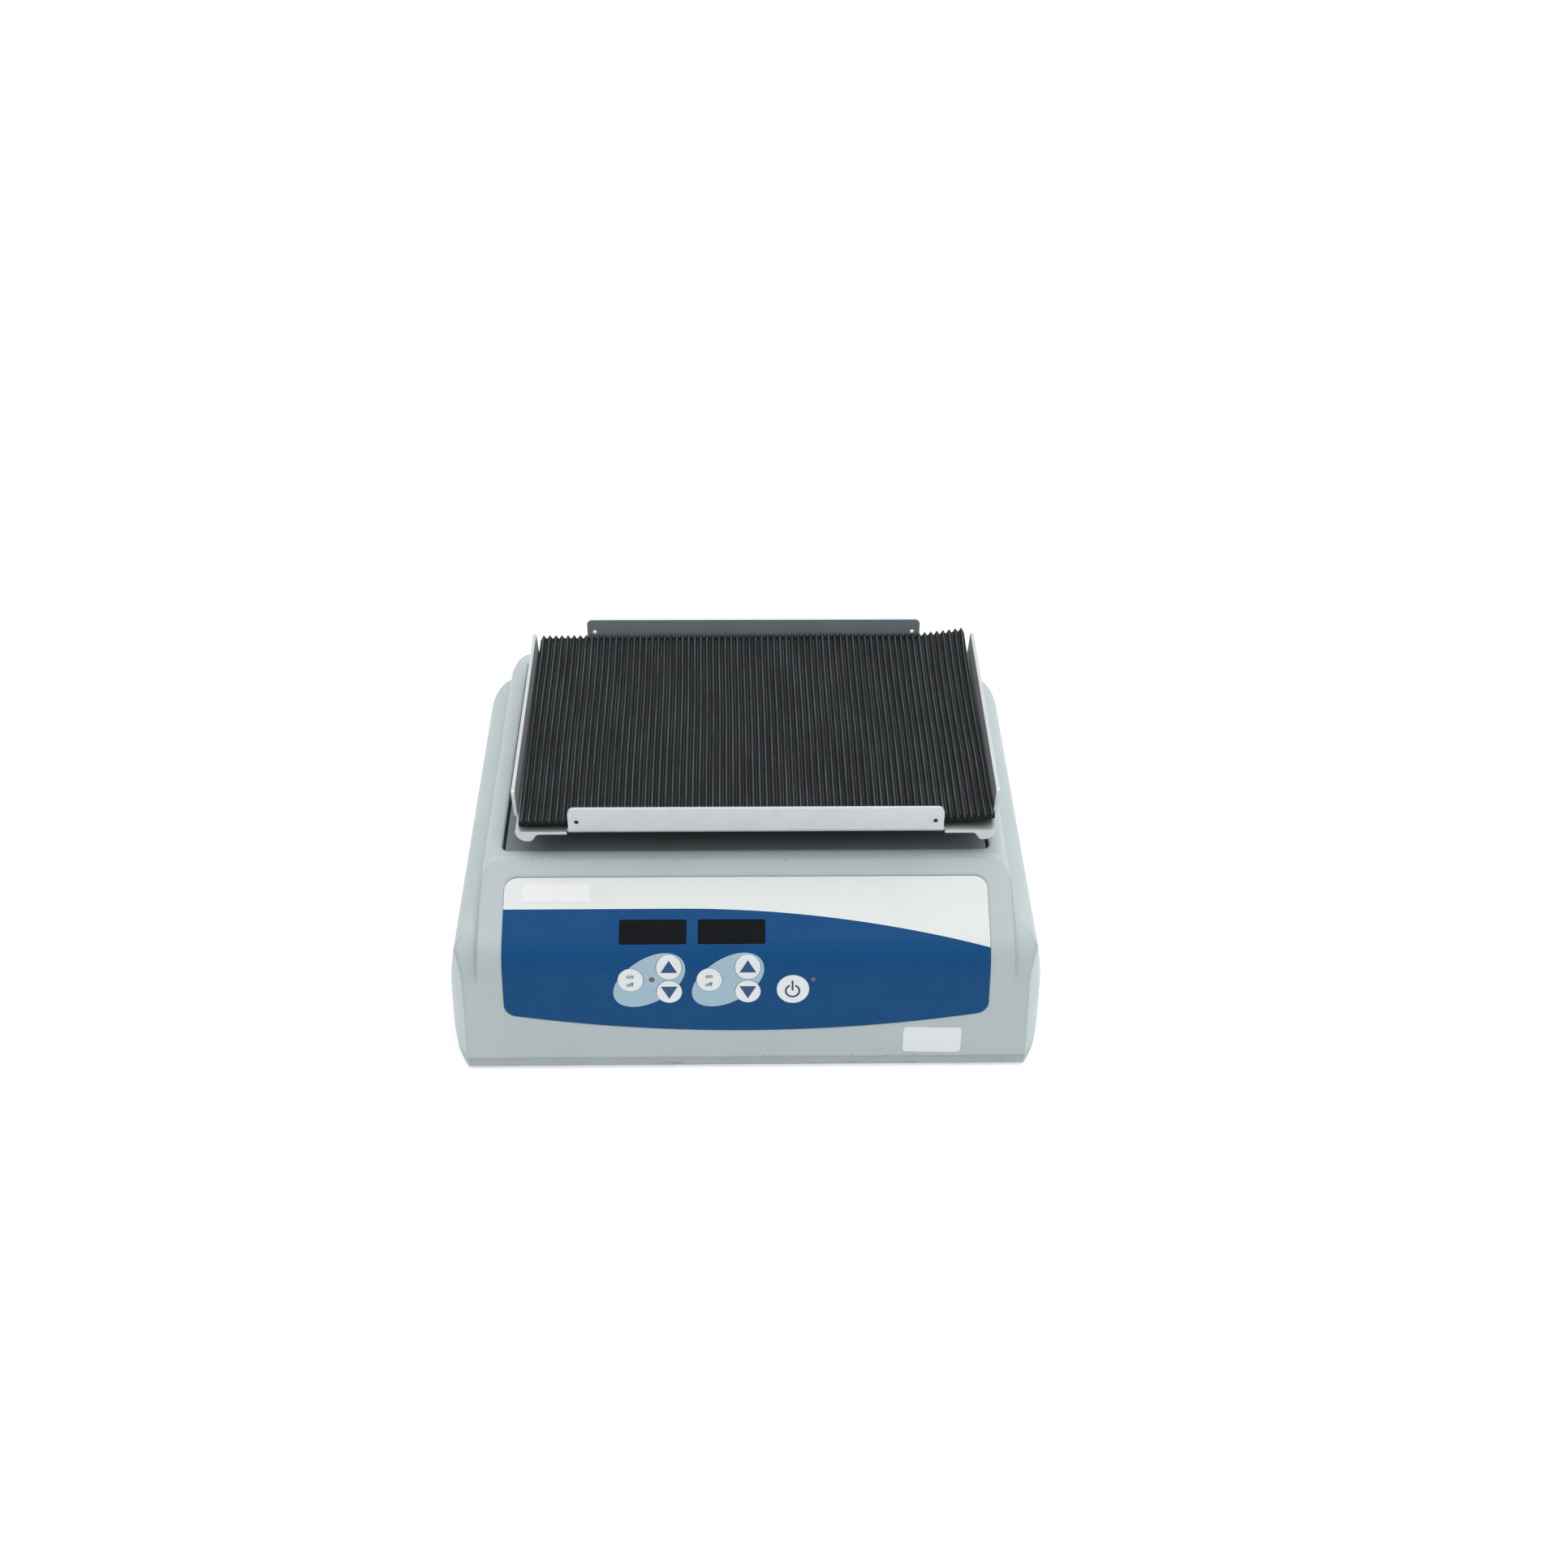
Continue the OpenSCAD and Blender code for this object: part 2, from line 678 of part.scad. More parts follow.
board_back = board_depth + board_t;
chip_t = 2.4;
socket_t = 6;
capacitor_h = 9;
supply_socket = [board_x + 38, -8];
motor_socket = [board_x - 26, -8];
module control_board() {
  color([0.1, 0.35, 0.2]) on_board() {
    difference() {
      slab(-board_back, -board_depth) translate([board_x, 0]) square([board_w, board_h], center = true);
      for (p = board_screws_at) translate([p.x, p.y, 0]) rod(-far, far, m3 + screw_clear);
    }
    slab(-board_back - chip_t, -board_back) translate([board_x, 4]) square(16, center = true);
    for (p = [supply_socket, motor_socket])
      slab(-board_back - socket_t, -board_back) translate(p) square([22, 7], center = true);
    for (x = [-48, 56]) translate([board_x + x, -6, 0])
      rod(-board_back - capacitor_h, -board_back, 8);
  }
}

module board_screws() {
  color(bright_metal) {
    on_board() for (p = board_screws_at) translate([p.x, p.y, -board_depth - board_t])
      screw(small_thread, m3_head, 1.8, board_t + 5);
    on_front(0, window_s) for (x = display_screw_xs) translate([x, 0, -display_back - board_t])
      screw(small_thread, m3_head, 1.8, board_t + 5);
  }
}

function board_y(s) = board_mid_s - max(s, bend_end)
  + (front_turn_r - key_reach(s)) * sin(key_tilt(s));

module key_switches() {
  color([0.15, 0.15, 0.15]) on_board() for (k = all_keys) translate([k.x, board_y(k.y), -board_depth]) {
    box([-3, -3, 0], [3, 3, board_depth - switch_top - 0.8]);
    cylinder(h = board_depth - switch_top, d = 3.4);
  }
}

module light_pipes() {
  color([0.75, 0.78, 0.75]) for (p = lights) on_front(p.x, p.y) rod(-board_depth, -film_sink, light_d);
}

// Labels, placed from the edges of the film and of the front face
label_t = 0.15;
label_gap = 0.05;
panel_label_size = [38.3, 11.4];
panel_label_in = [29.7, 9.3];
front_label_size = [33.4, 16.8];
front_label_in = [54.1, 7.3];
front_label_turn = -1.3;
rear_label_size = [64, 28];
rear_label_z = 45;
module panel_label() {
  color([0.95, 0.95, 0.95]) on_front(panel_label_in.x - film_w / 2, film_top + panel_label_in.y)
    slab(label_gap - film_sink, label_gap) rounded(panel_label_size.x, panel_label_size.y, 0.8);
}

module front_label() {
  color([0.96, 0.96, 0.96]) on_front(face_w / 2 - front_label_in.x, film_low + front_label_in.y)
    rotate(front_label_turn)
      slab(label_gap, label_t) rounded(front_label_size.x, front_label_size.y, 2.2);
}

module face_key(k) {
  color([0.88, 0.91, 0.93]) {
    intersection() {
      on_front(k.x, k.y) rod(-5, 5, k.z);
      face_skin(-key_back, key_lift);
    }
    on_front(k.x, k.y) rod(-key_reach(k.y), -key_back + 0.3, plunger_d);
  }
}

module key_speed_on() { face_key(keys[0]); }
module key_speed_up() { face_key(keys[1]); }
module key_speed_down() { face_key(keys[2]); }
module key_time_on() { face_key(keys[3]); }
module key_time_up() { face_key(keys[4]); }
module key_time_down() { face_key(keys[5]); }
module key_power() { face_key(power_key); }

// Chassis: the plate that carries the bearings and the motor
flange_t = 6;
main_od = 32;
main_bw = 9;
idler_od = 26;
idler_bw = 8;
pin_od = 28;
main_flange_r = 32;
main_body_r = 22;
idler_flange_r = 23.4;
idler_body_r = 17;
main_screw_r = 27;
idler_screw_r = 20.2;
motor_boss_d = 22;
motor_screw_r = motor_d * 0.36;
motor_shaft_d = 8;
motor_plug = 7;
pillar_d = 12;

module around(n, r, turn) {
  for (i = [0:n - 1]) rotate(turn + i * 360 / n) translate([r, 0, 0]) children();
}
module at_shaft() { translate([0, shaft_y, 0]) children(); }
module at_motor() { translate([motor_x, motor_y, 0]) children(); }

module chassis_plate() {
  color([0.75, 0.76, 0.77]) difference() {
    slab(chassis_bot, chassis_top) translate([0, shaft_y]) rounded(chassis_w, chassis_d, 8);
    at_shaft() {
      rod(0, far, shaft_d + 6);
      around(4, main_screw_r, 45) rod(0, far, thread);
    }
    at_each(idler_places) {
      rod(0, far, idler_d + 6);
      around(4, idler_screw_r, 45) rod(0, far, small_thread);
    }
    at_motor() {
      rod(0, far, motor_boss_d + screw_clear);
      around(4, motor_screw_r, 45) rod(0, far, m4 + 2 * screw_clear);
    }
    at_each(pillar_places) rod(0, far, m4 + 2 * screw_clear);
  }
}

module chassis_pillars() {
  color([0.7, 0.71, 0.72]) at_each(pillar_places) difference() {
    rod(pan_top, chassis_bot, pillar_d);
    rod(pan_top - 1, pan_top + 12, thread);
    rod(chassis_bot - 12, chassis_bot + 1, thread);
  }
}

module pillar_screws() {
  color(bright_metal) at_each(pillar_places) {
    translate([0, 0, base_z + 1.5]) screw(thread, m4_head, 1.4, pan_t + 8);
    translate([0, 0, chassis_top]) rotate([180, 0, 0]) screw(thread, m4_head, 3, chassis_t + 9);
  }
}

module bearing_block(body_r, flange_r, od, bw, screw_r, screw_d) {
  difference() {
    union() {
      rod(chassis_top, block_top, 2 * body_r);
      rod(chassis_top, chassis_top + flange_t, 2 * flange_r);
    }
    rod(chassis_top - 1, block_top + 1, od - 6);
    rod(chassis_top - 1, chassis_top + 1 + bw, od);
    rod(block_top - 1 - bw, block_top + 1, od);
    around(4, screw_r, 45) rod(0, far, screw_d + 2 * screw_clear);
  }
}

// A sealed bearing, with its shields set back between the two rings
module bearing(bore, od, w) {
  color(bright_metal) rotate_extrude() difference() {
    translate([bore / 2 + run_clear, 0]) square([(od - bore) / 2 - run_clear, w]);
    for (z = [-1, w - 0.6]) translate([bore / 2 + 2, z]) square([(od - bore) / 2 - 4, 1.6]);
  }
}

module main_bearing_block() {
  color([0.72, 0.73, 0.75]) at_shaft()
    bearing_block(main_body_r, main_flange_r, main_od, main_bw, main_screw_r, thread);
}

module main_bearings() {
  at_shaft() for (z = [chassis_top + 1, block_top - 1 - main_bw])
    translate([0, 0, z]) bearing(shaft_d, main_od, main_bw);
}

module idler_blocks() {
  color([0.72, 0.73, 0.75]) at_each(idler_places)
    bearing_block(idler_body_r, idler_flange_r, idler_od, idler_bw, idler_screw_r, small_thread);
}

module idler_bearings() {
  at_each(idler_places) for (z = [chassis_top + 1, block_top - 1 - idler_bw])
    translate([0, 0, z]) bearing(idler_d, idler_od, idler_bw);
}

module block_screw(d, head) {
  translate([0, 0, chassis_top + flange_t]) rotate([180, 0, 0])
    screw(d, head, 3, flange_t + chassis_t - 0.5);
}

module block_screws() {
  color(bright_metal) {
    at_shaft() around(4, main_screw_r, 45) block_screw(thread, m4_head);
    at_each(idler_places) around(4, idler_screw_r, 45) block_screw(small_thread, m3_head);
  }
}

module motor() {
  color([0.2, 0.2, 0.22]) at_motor() difference() {
    union() {
      rod(chassis_top, chassis_top + motor_h - 2, motor_d);
      rod(chassis_top, chassis_top + motor_h, motor_d * 0.45);
      rod(chassis_bot, chassis_top + 1, motor_boss_d);
      box([-7, -motor_d / 2 - motor_plug, chassis_top + 2], [7, 0, chassis_top + 11]);
    }
    rod(0, chassis_top + 14, motor_shaft_d + 2 * run_clear);
    around(4, motor_screw_r, 45) rod(0, chassis_top + 8, thread);
    for (z = [8:4:motor_h - 8]) translate([0, 0, chassis_top + z]) difference() {
      cylinder(h = 1.6, d = motor_d + 4);
      translate([0, 0, -1]) cylinder(h = 4, d = motor_d - 2);
      box([-8, -far, -1], [8, 0, 4]);
    }
  }
}

module motor_screws() {
  color(bright_metal) at_motor() around(4, motor_screw_r, 45)
    translate([0, 0, chassis_bot]) screw(thread, m4_head, 3, chassis_t + 6);
}

belt_gap = 0.3;
belt_t = 1.8;
module belt_outline(grow) {
  hull() {
    translate([0, shaft_y]) circle(pulley_d / 2 + grow, $fn = 72);
    translate([motor_x, motor_y]) circle(pinion_d / 2 + grow);
  }
}

module drive_belt() {
  color([0.12, 0.12, 0.12]) slab(pulley_bot + 2, pulley_bot + 2 + belt_w) difference() {
    belt_outline(belt_gap + belt_t);
    belt_outline(belt_gap);
  }
}

// Drive: shaft with its eccentric pin, pulleys, weight and idler cranks
web_r = 15;
idler_web_r = 11;
seat_h = 9.2;
pin_top = hub_bot + seat_h - 0.5;
hub_below = 4;
weight_r = 40;
weight_ring = 5;

module crank(journal_bot, journal_d, crank_web_r, crank_pin_d) {
  rod(journal_bot, web_bot, journal_d);
  rod(web_bot, web_top, 2 * crank_web_r);
  translate([0, -orbit_r, 0]) rod(web_top - 1, pin_top, crank_pin_d);
}

module drive_shaft() {
  color([0.66, 0.67, 0.69]) at_shaft() crank(pulley_bot - hub_below, shaft_d, web_r, pin_d);
}

module pulley(d, bore, hub_d) {
  difference() {
    union() {
      rod(pulley_bot, pulley_top, d);
      for (z = [pulley_bot, pulley_top - pulley_rim]) rod(z, z + pulley_rim, d + 7);
      rod(pulley_bot - hub_below, pulley_top, hub_d);
    }
    rod(0, far, bore);
    children();
  }
}

module drive_pulley() {
  color([0.6, 0.61, 0.63]) at_shaft() pulley(pulley_d, shaft_d, shaft_d + 14) {
    around(6, pulley_d * 0.31, 0) rod(0, far, pulley_d * 0.17);
    difference() {
      rod(pulley_bot + 4, far, pulley_d - 8);
      rod(0, far, shaft_d + 14);
    }
  }
}

module counterweight() {
  color([0.5, 0.51, 0.52]) at_shaft() difference() {
    slab(web_bot + 0.5, web_top - 0.5) difference() {
      union() {
        circle(web_r + weight_ring);
        intersection() {
          circle(weight_r);
          translate([-weight_r, 0]) square([2 * weight_r, weight_r]);
        }
      }
      circle(web_r);
    }
    crank_screw_places() cylinder(h = weight_ring + 4, d = m4);
  }
}

module crank_screw_places() {
  for (turn = [200, 340]) rotate(turn)
    translate([web_r, 0, (web_bot + web_top) / 2]) rotate([0, 90, 0]) children();
}

module crank_screws() {
  color(bright_metal) at_shaft() crank_screw_places() difference() {
    cylinder(h = weight_ring, d = m4);
    translate([0, 0, weight_ring - 2]) cylinder(h = 3, d = 2, $fn = 6);
  }
}

module motor_shaft() {
  color([0.7, 0.71, 0.72]) at_motor() rod(pulley_bot - hub_below, chassis_top + 13, motor_shaft_d);
}

module motor_pulley() {
  color([0.6, 0.61, 0.63]) at_motor() pulley(pinion_d, motor_shaft_d, motor_shaft_d + 10);
}

module idler_crank(place) {
  color([0.66, 0.67, 0.69]) translate([place.x, place.y, 0])
    crank(chassis_top + 1.2, idler_d, idler_web_r, idler_d);
}

module idler_crank_left() { idler_crank(idler_places[0]); }
module idler_crank_right() { idler_crank(idler_places[1]); }
module idler_crank_rear() { idler_crank(idler_places[2]); }

// Carriage and tray, which orbit together
carriage_w = opening_w - 2 * carriage_gap;
carriage_d = opening_d - 2 * carriage_gap;
carriage_r = opening_r - 1.5;
hub_t = 4;
rib_t = 3;
rib_drop = 6;
skirt_t = 2.5;
stud_d = 6;
post_places = [for (x = [-1, 1], y = [-1, 1]) [x * post_gap_x / 2, carriage_y + y * post_gap_y / 2]];
pin_places = [for (p = idler_places) [p.x, p.y - orbit_r]];

module carriage() {
  color(housing_grey) difference() {
    union() {
      slab(carriage_bot, carriage_top) translate([0, carriage_y])
        rounded(carriage_w, carriage_d, carriage_r);
      slab(carriage_bot - rib_drop - 2, carriage_bot) translate([0, carriage_y]) difference() {
        rounded(carriage_w, carriage_d, carriage_r);
        rounded(carriage_w - 2 * skirt_t, carriage_d - 2 * skirt_t, carriage_r - skirt_t + 1);
      }
      translate([0, carriage_y, 0]) rod(hub_bot, carriage_bot, pin_od + 2 * hub_t);
      at_each(pin_places) rod(hub_bot, carriage_bot, idler_od + 2 * hub_t);
      slab(carriage_bot - rib_drop, carriage_bot) {
        for (y = [carriage_y, pin_places[0].y, pin_places[2].y])
          translate([-carriage_w / 2 + 1, y - rib_t / 2]) square([carriage_w - 2, rib_t]);
        for (p = pin_places)
          translate([p.x - rib_t / 2, carriage_y - carriage_d / 2 + 1]) square([rib_t, carriage_d - 2]);
      }
    }
    translate([0, carriage_y, 0]) rod(hub_bot - 1, hub_bot + seat_h, pin_od);
    at_each(pin_places) rod(hub_bot - 1, hub_bot + seat_h, idler_od);
    at_each(post_places) rod(0, far, stud_d);
  }
}

module carriage_bearings() {
  translate([0, carriage_y, hub_bot + 0.5]) bearing(pin_d, pin_od, idler_bw);
  at_each(pin_places) translate([0, 0, hub_bot + 0.5]) bearing(idler_d, idler_od, idler_bw);
}

tray_across = max(tray_w, mat_w + 2 * (tray_t + mat_gap));
tray_along = max(tray_d, mat_d + 2 * (tray_t + mat_gap));
tray_bot = carriage_top + tray_lift;
tray_floor = tray_bot + tray_t;
bend_r = tray_t + 1;
module at_tray() { translate([tray_shift, carriage_y, 0]) children(); }

module tray_posts() {
  color(bright_metal) at_each(post_places) difference() {
    union() {
      rod(carriage_top, tray_bot, post_d);
      rod(carriage_bot, carriage_top + 1, stud_d);
    }
    rod(tray_bot - 10, tray_bot + 1, m5 - 0.8);
  }
}

// A flange along X at the front: its bend seen from the side, its plate seen from the front
module flange(l, h, corner, lean = 0) {
  up = [-h * sin(lean), h * cos(lean)];
  outside = arc([bend_r, bend_r], bend_r, 270, 180 + lean);
  inside = arc([bend_r, bend_r], bend_r - tray_t, 180 + lean, 270);
  difference() {
    intersection() {
      along_x(l) polygon(concat([[bend_r + 1, 0]], outside,
        [outside[arc_steps] + up, inside[0] + up], inside, [[bend_r + 1, tray_t]]));
      along_y(-h, bend_r + 2) {
        translate([-l / 2, 0]) square([l, h - corner]);
        translate([-l / 2 + corner, 0]) square([l - 2 * corner, h]);
        for (x = [-1, 1]) translate([x * (l / 2 - corner), h - corner]) circle(corner);
      }
    }
    children();
  }
}

// A corner tab seen from the front, with the outside of the side flange at 0
tab_tip_r = 3;
tab_turn = 55;
tab_tip_x = tab_w - 6.3;
tab_corner = min(tab_drop + tray_t, tab_tip_x - corner_in);
module tab_outline() {
  polygon(concat([[corner_in, tray_t]],
    arc([corner_in + tab_corner, tab_corner - tab_drop], tab_corner, 180, 270),
    arc([tab_tip_x, tab_tip_r - tab_drop], tab_tip_r, 270, 270 + tab_turn),
    arc([tab_w, -tab_tip_r], tab_tip_r, 90 + tab_turn, 90), [[tab_w, tray_t]]));
}

slot_l = 22;
slot_w = m5 + 0.6;
flange_gap = 1;
module tray() {
  color(bright_metal) at_tray() translate([0, 0, tray_bot]) {
    difference() {
      slab(0, tray_t) rounded(tray_across - 2 * corner_in, tray_along, 4);
      for (y = [-1, 1]) translate([0, y * tray_along / 2, 0])
        cube([end_flange_w + 2 * flange_gap, 2 * bend_r, far], center = true);
      for (x = [-1, 1]) translate([x * tray_across / 2, 0, 0])
        cube([2 * bend_r, side_flange_l + 2 * flange_gap, far], center = true);
      for (x = [-1, 1], y = [-1, 1]) translate([x * post_gap_x / 2, y * post_gap_y / 2, 0])
        slab(-1, tray_t + 1) rounded(slot_l, slot_w, slot_w / 2 - eps);
    }
    for (turn = [0, 180]) rotate(turn) {
      translate([0, -tray_along / 2, 0]) flange(end_flange_w, end_flange_h, 3.5)
        for (x = [-1, 1]) translate([x * flange_hole_gap / 2, 9, end_flange_h / 2])
          rotate([90, 0, 0]) cylinder(h = 18, d = flange_hole_d);
      for (flip = [0, 1]) mirror([flip, 0, 0]) translate([-tray_across / 2, 0, 0])
        along_y(-tray_along / 2, -tray_along / 2 + tray_t) tab_outline();
    }
    for (turn = [90, 270]) rotate(turn)
      translate([0, -tray_across / 2, 0]) flange(side_flange_l, side_flange_h, 3, side_flange_lean);
  }
}

tray_screw_head = 1.8;
module tray_screws() {
  color(bright_metal) at_each(post_places) difference() {
    union() {
      rod(tray_bot - 9, tray_floor, m5 - 0.8);
      rod(tray_floor, tray_floor + tray_screw_head, m5_head);
    }
    rod(tray_floor + tray_screw_head / 2, far, 3);
  }
}

// Mat: a base with pointed ribs that run front to back
rib_count = floor(mat_w / rib_pitch);
rib_margin = (mat_w - rib_count * rib_pitch) / 2;
rib_flat = 0.6;
module rubber_mat() {
  color(mat_black) difference() {
    at_tray() translate([0, 0, tray_floor]) along_y(-mat_d / 2, mat_d / 2)
      translate([-mat_w / 2, 0]) polygon(concat([[mat_w, 0], [0, 0], [0, mat_base]],
        [for (i = [0:rib_count - 1]) let (x = rib_margin + i * rib_pitch) each [[x, mat_base],
          [x + (rib_pitch - rib_flat) / 2, mat_base + rib_h],
          [x + (rib_pitch + rib_flat) / 2, mat_base + rib_h]]],
        [[mat_w - rib_margin, mat_base], [mat_w, mat_base]]));
    at_each(post_places) rod(tray_floor - 1, tray_floor + tray_screw_head + 0.6, m5_head + 3);
  }
}

// Power: supply board, inlet, fuse drawer and leads
supply_mid = [81, 30];
supply_size = [54, 110];
supply_lift = 6;
terminal_h = 9;
supply_z = pan_top + supply_lift;
supply_post_gap = [44, 100];
supply_posts = [for (x = [-1, 1], y = [-1, 1])
  [supply_mid.x + x * supply_post_gap.x / 2, supply_mid.y + y * supply_post_gap.y / 2]];

module power_supply() {
  color([0.75, 0.6, 0.2]) difference() {
    translate([supply_mid.x, supply_mid.y, 0]) {
      slab(supply_z, supply_z + board_t) square(supply_size, center = true);
      translate([0, 0, supply_z]) {
        box([-8, -16, 0], [20, 18, 24]);
        box([-20, -44, 0], [-17, 8, 20]);
        box([-20, 12, 0], [-16, 42, 20]);
        for (p = [[-4, 34], [13, 34], [6, -30]]) translate([p.x, p.y, 0]) cylinder(h = 22, d = 14);
        for (y = [-49, 49]) translate([0, y, 0]) box([-14, -5, 0], [14, 5, terminal_h]);
      }
    }
    at_each(supply_posts) rod(0, far, m3 + 2 * screw_clear);
  }
}

module supply_standoffs() {
  color(bright_metal) at_each(supply_posts) {
    rod(base_z + 0.5, supply_z + board_t + 3, m3 - 0.2);
    rod(pan_top, supply_z, 6);
    rod(supply_z + board_t, supply_z + board_t + 2, 5);
  }
}

inlet_flange_t = 2.5;
socket_w = 24.6;
socket_h = 16.4;
socket_cut = 5;
socket_up = 3.6;
socket_depth = 17.5;
pin_l = 13;
pins = [[-7, -2], [7, -2], [0, 2]];
drawer_w = 19;
drawer_h = 5;
drawer_down = 9.4;
drawer_l = 18;
drawer_fit = 0.15;
module at_inlet() { translate([inlet_x, inlet_face_y, inlet_z]) children(); }

module power_inlet() {
  color([0.12, 0.12, 0.12]) at_inlet() difference() {
    union() {
      along_y(0, inlet_flange_t) rounded(inlet_w, inlet_h, 3);
      along_y(-inlet_body_l, 0) square([inlet_body_w, inlet_body_h], center = true);
    }
    along_y(inlet_flange_t - socket_depth, far) translate([0, socket_up]) socket_outline();
    along_y(inlet_flange_t - drawer_l, far) translate([0, -drawer_down])
      square([drawer_w + 2 * drawer_fit, drawer_h + 2 * drawer_fit], center = true);
    for (x = [-1, 1]) translate([x * inlet_screw_gap / 2, inlet_flange_t + 1, 0]) rotate([90, 0, 0]) {
      cylinder(h = 9, d = m3 + 2 * screw_clear);
      cylinder(h = 2.4, d = m3_head + 0.8);
    }
    for (p = pins) along_y(-inlet_body_l - 1, 0) translate([p.x, p.y + socket_up]) pin_outline();
  }
}

module pin_outline() { square([2, 4], center = true); }
module socket_outline() {
  x = socket_w / 2;
  y = socket_h / 2;
  polygon([[-x, -y], [x, -y], [x, y - socket_cut], [x - socket_cut, y], [socket_cut - x, y],
    [-x, y - socket_cut]]);
}

module inlet_pins() {
  color([0.78, 0.7, 0.45]) at_inlet() for (p = pins)
    along_y(-inlet_body_l - 6, inlet_flange_t - socket_depth + pin_l)
      translate([p.x, p.y + socket_up]) pin_outline();
}

module fuse_drawer() {
  color([0.2, 0.2, 0.2]) at_inlet() difference() {
    union() {
      along_y(inlet_flange_t - drawer_l + 0.3, inlet_flange_t) translate([0, -drawer_down])
        square([drawer_w, drawer_h], center = true);
      along_y(inlet_flange_t - 1, inlet_flange_t + 1.2) translate([0, -drawer_down - drawer_h / 2 + 0.8])
        square([8, 1.6], center = true);
    }
    for (x = [-5, 5]) translate([x, inlet_flange_t - 6, -drawer_down])
      box([-3.6, -9, -1.4], [3.6, 3, far]);
  }
}

module inlet_screws() {
  color(bright_metal) at_inlet() for (x = [-1, 1])
    translate([x * inlet_screw_gap / 2, inlet_flange_t - 1.4, 0]) rotate([90, 0, 0])
      screw(small_thread, m3_head, 1.4, 7);
}

module rear_label() {
  color([0.93, 0.93, 0.93]) translate([0, rear_y, rear_label_z]) rotate([90, 0, 180])
    slab(0, label_t) rounded(rear_label_size.x, rear_label_size.y, 1.5);
}

// Leads: straight runs with round bends
module lead(points, d) {
  for (i = [0:len(points) - 2]) let (run = points[i + 1] - points[i], l = norm(run))
    translate(points[i]) rotate([0, acos(run.z / l), atan2(run.y, run.x)])
      cylinder(h = l, d = d, $fn = 24);
  for (i = [1:len(points) - 2]) translate(points[i]) sphere(d = d + 0.1, $fn = 24);
}

module inlet_leads() {
  lead_end = supply_mid.y + supply_size.y / 2 - 6;
  for (p = pins) color([0.25, 0.3, 0.55]) lead([
    [inlet_x + p.x, inlet_face_y - inlet_body_l - 6, inlet_z + socket_up + p.y],
    [inlet_x + p.x, inlet_face_y - inlet_body_l - 12, inlet_z + socket_up + p.y],
    [inlet_x + p.x, lead_end + 3, supply_z + 18],
    [supply_mid.x + p.x, lead_end, supply_z + terminal_h + 5],
    [supply_mid.x + p.x, lead_end, supply_z + terminal_h]], 2.6);
}

cable_d = 4;
function board_spot(p, z) = let (spot = face_spot(board_mid_s))
  [p.x, spot.x + p.y * sin(front_lean) - z * cos(front_lean),
    spot.y + p.y * cos(front_lean) + z * sin(front_lean)];

module board_cable() {
  terminal_y = supply_mid.y - supply_size.y / 2 + 6;
  color([0.2, 0.2, 0.2]) lead([
    [supply_mid.x, terminal_y, supply_z + terminal_h],
    [supply_mid.x, terminal_y, supply_z + terminal_h + 6],
    [60, -80, 22],
    board_spot(supply_socket, -board_back - socket_t - 16),
    board_spot(supply_socket, -board_back - socket_t)], cable_d);
}

module motor_cable() {
  run_z = chassis_top + 6.5;
  run_x = idler_places[0].x + 30;
  plug_y = motor_y - motor_d / 2 - motor_plug;
  color([0.2, 0.2, 0.2]) lead([
    board_spot(motor_socket, -board_back - socket_t),
    board_spot(motor_socket, -board_back - socket_t - 16),
    [run_x, shaft_y - chassis_d / 2 - 6, run_z],
    [run_x, shaft_y - 30, run_z],
    [motor_x, plug_y - 5, run_z],
    [motor_x, plug_y, run_z]], cable_d);
}

top_cover();
base_pan();
rubber_feet();
foot_screws();
cover_screws();
panel_film();
speed_window();
time_window();
speed_display();
time_display();
display_board();
control_board();
board_screws();
key_switches();
light_pipes();
panel_label();
front_label();
chassis_plate();
chassis_pillars();
pillar_screws();
main_bearing_block();
main_bearings();
idler_blocks();
idler_bearings();
block_screws();
motor();
motor_screws();
drive_belt();
power_supply();
supply_standoffs();
power_inlet();
inlet_pins();
fuse_drawer();
inlet_screws();
rear_label();
inlet_leads();
board_cable();
motor_cable();
drive_shaft();
drive_pulley();
counterweight();
crank_screws();
motor_shaft();
motor_pulley();
idler_crank_left();
idler_crank_right();
idler_crank_rear();
carriage();
carriage_bearings();
tray_posts();
tray();
tray_screws();
rubber_mat();
key_speed_on();
key_speed_up();
key_speed_down();
key_time_on();
key_time_up();
key_time_down();
key_power();
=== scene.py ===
# %% [markdown]
# # An orbital shaker for the lab bench
# A moulded grey housing with a sloping keypad carries a sheet metal tray, and the tray circles on
# three small cranks and a driven one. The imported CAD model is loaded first, as a frame that is
# never moved. Some of its parts only need a good finish here. Others, such as the printed panel
# and the ribbed mat, are stood in for by a finer mesh that lies in the same place.

# %% Load the CAD model
import math

import bmesh
import bpy
import numpy as np
from mathutils import Matrix, Vector
from mathutils.geometry import delaunay_2d_cdt


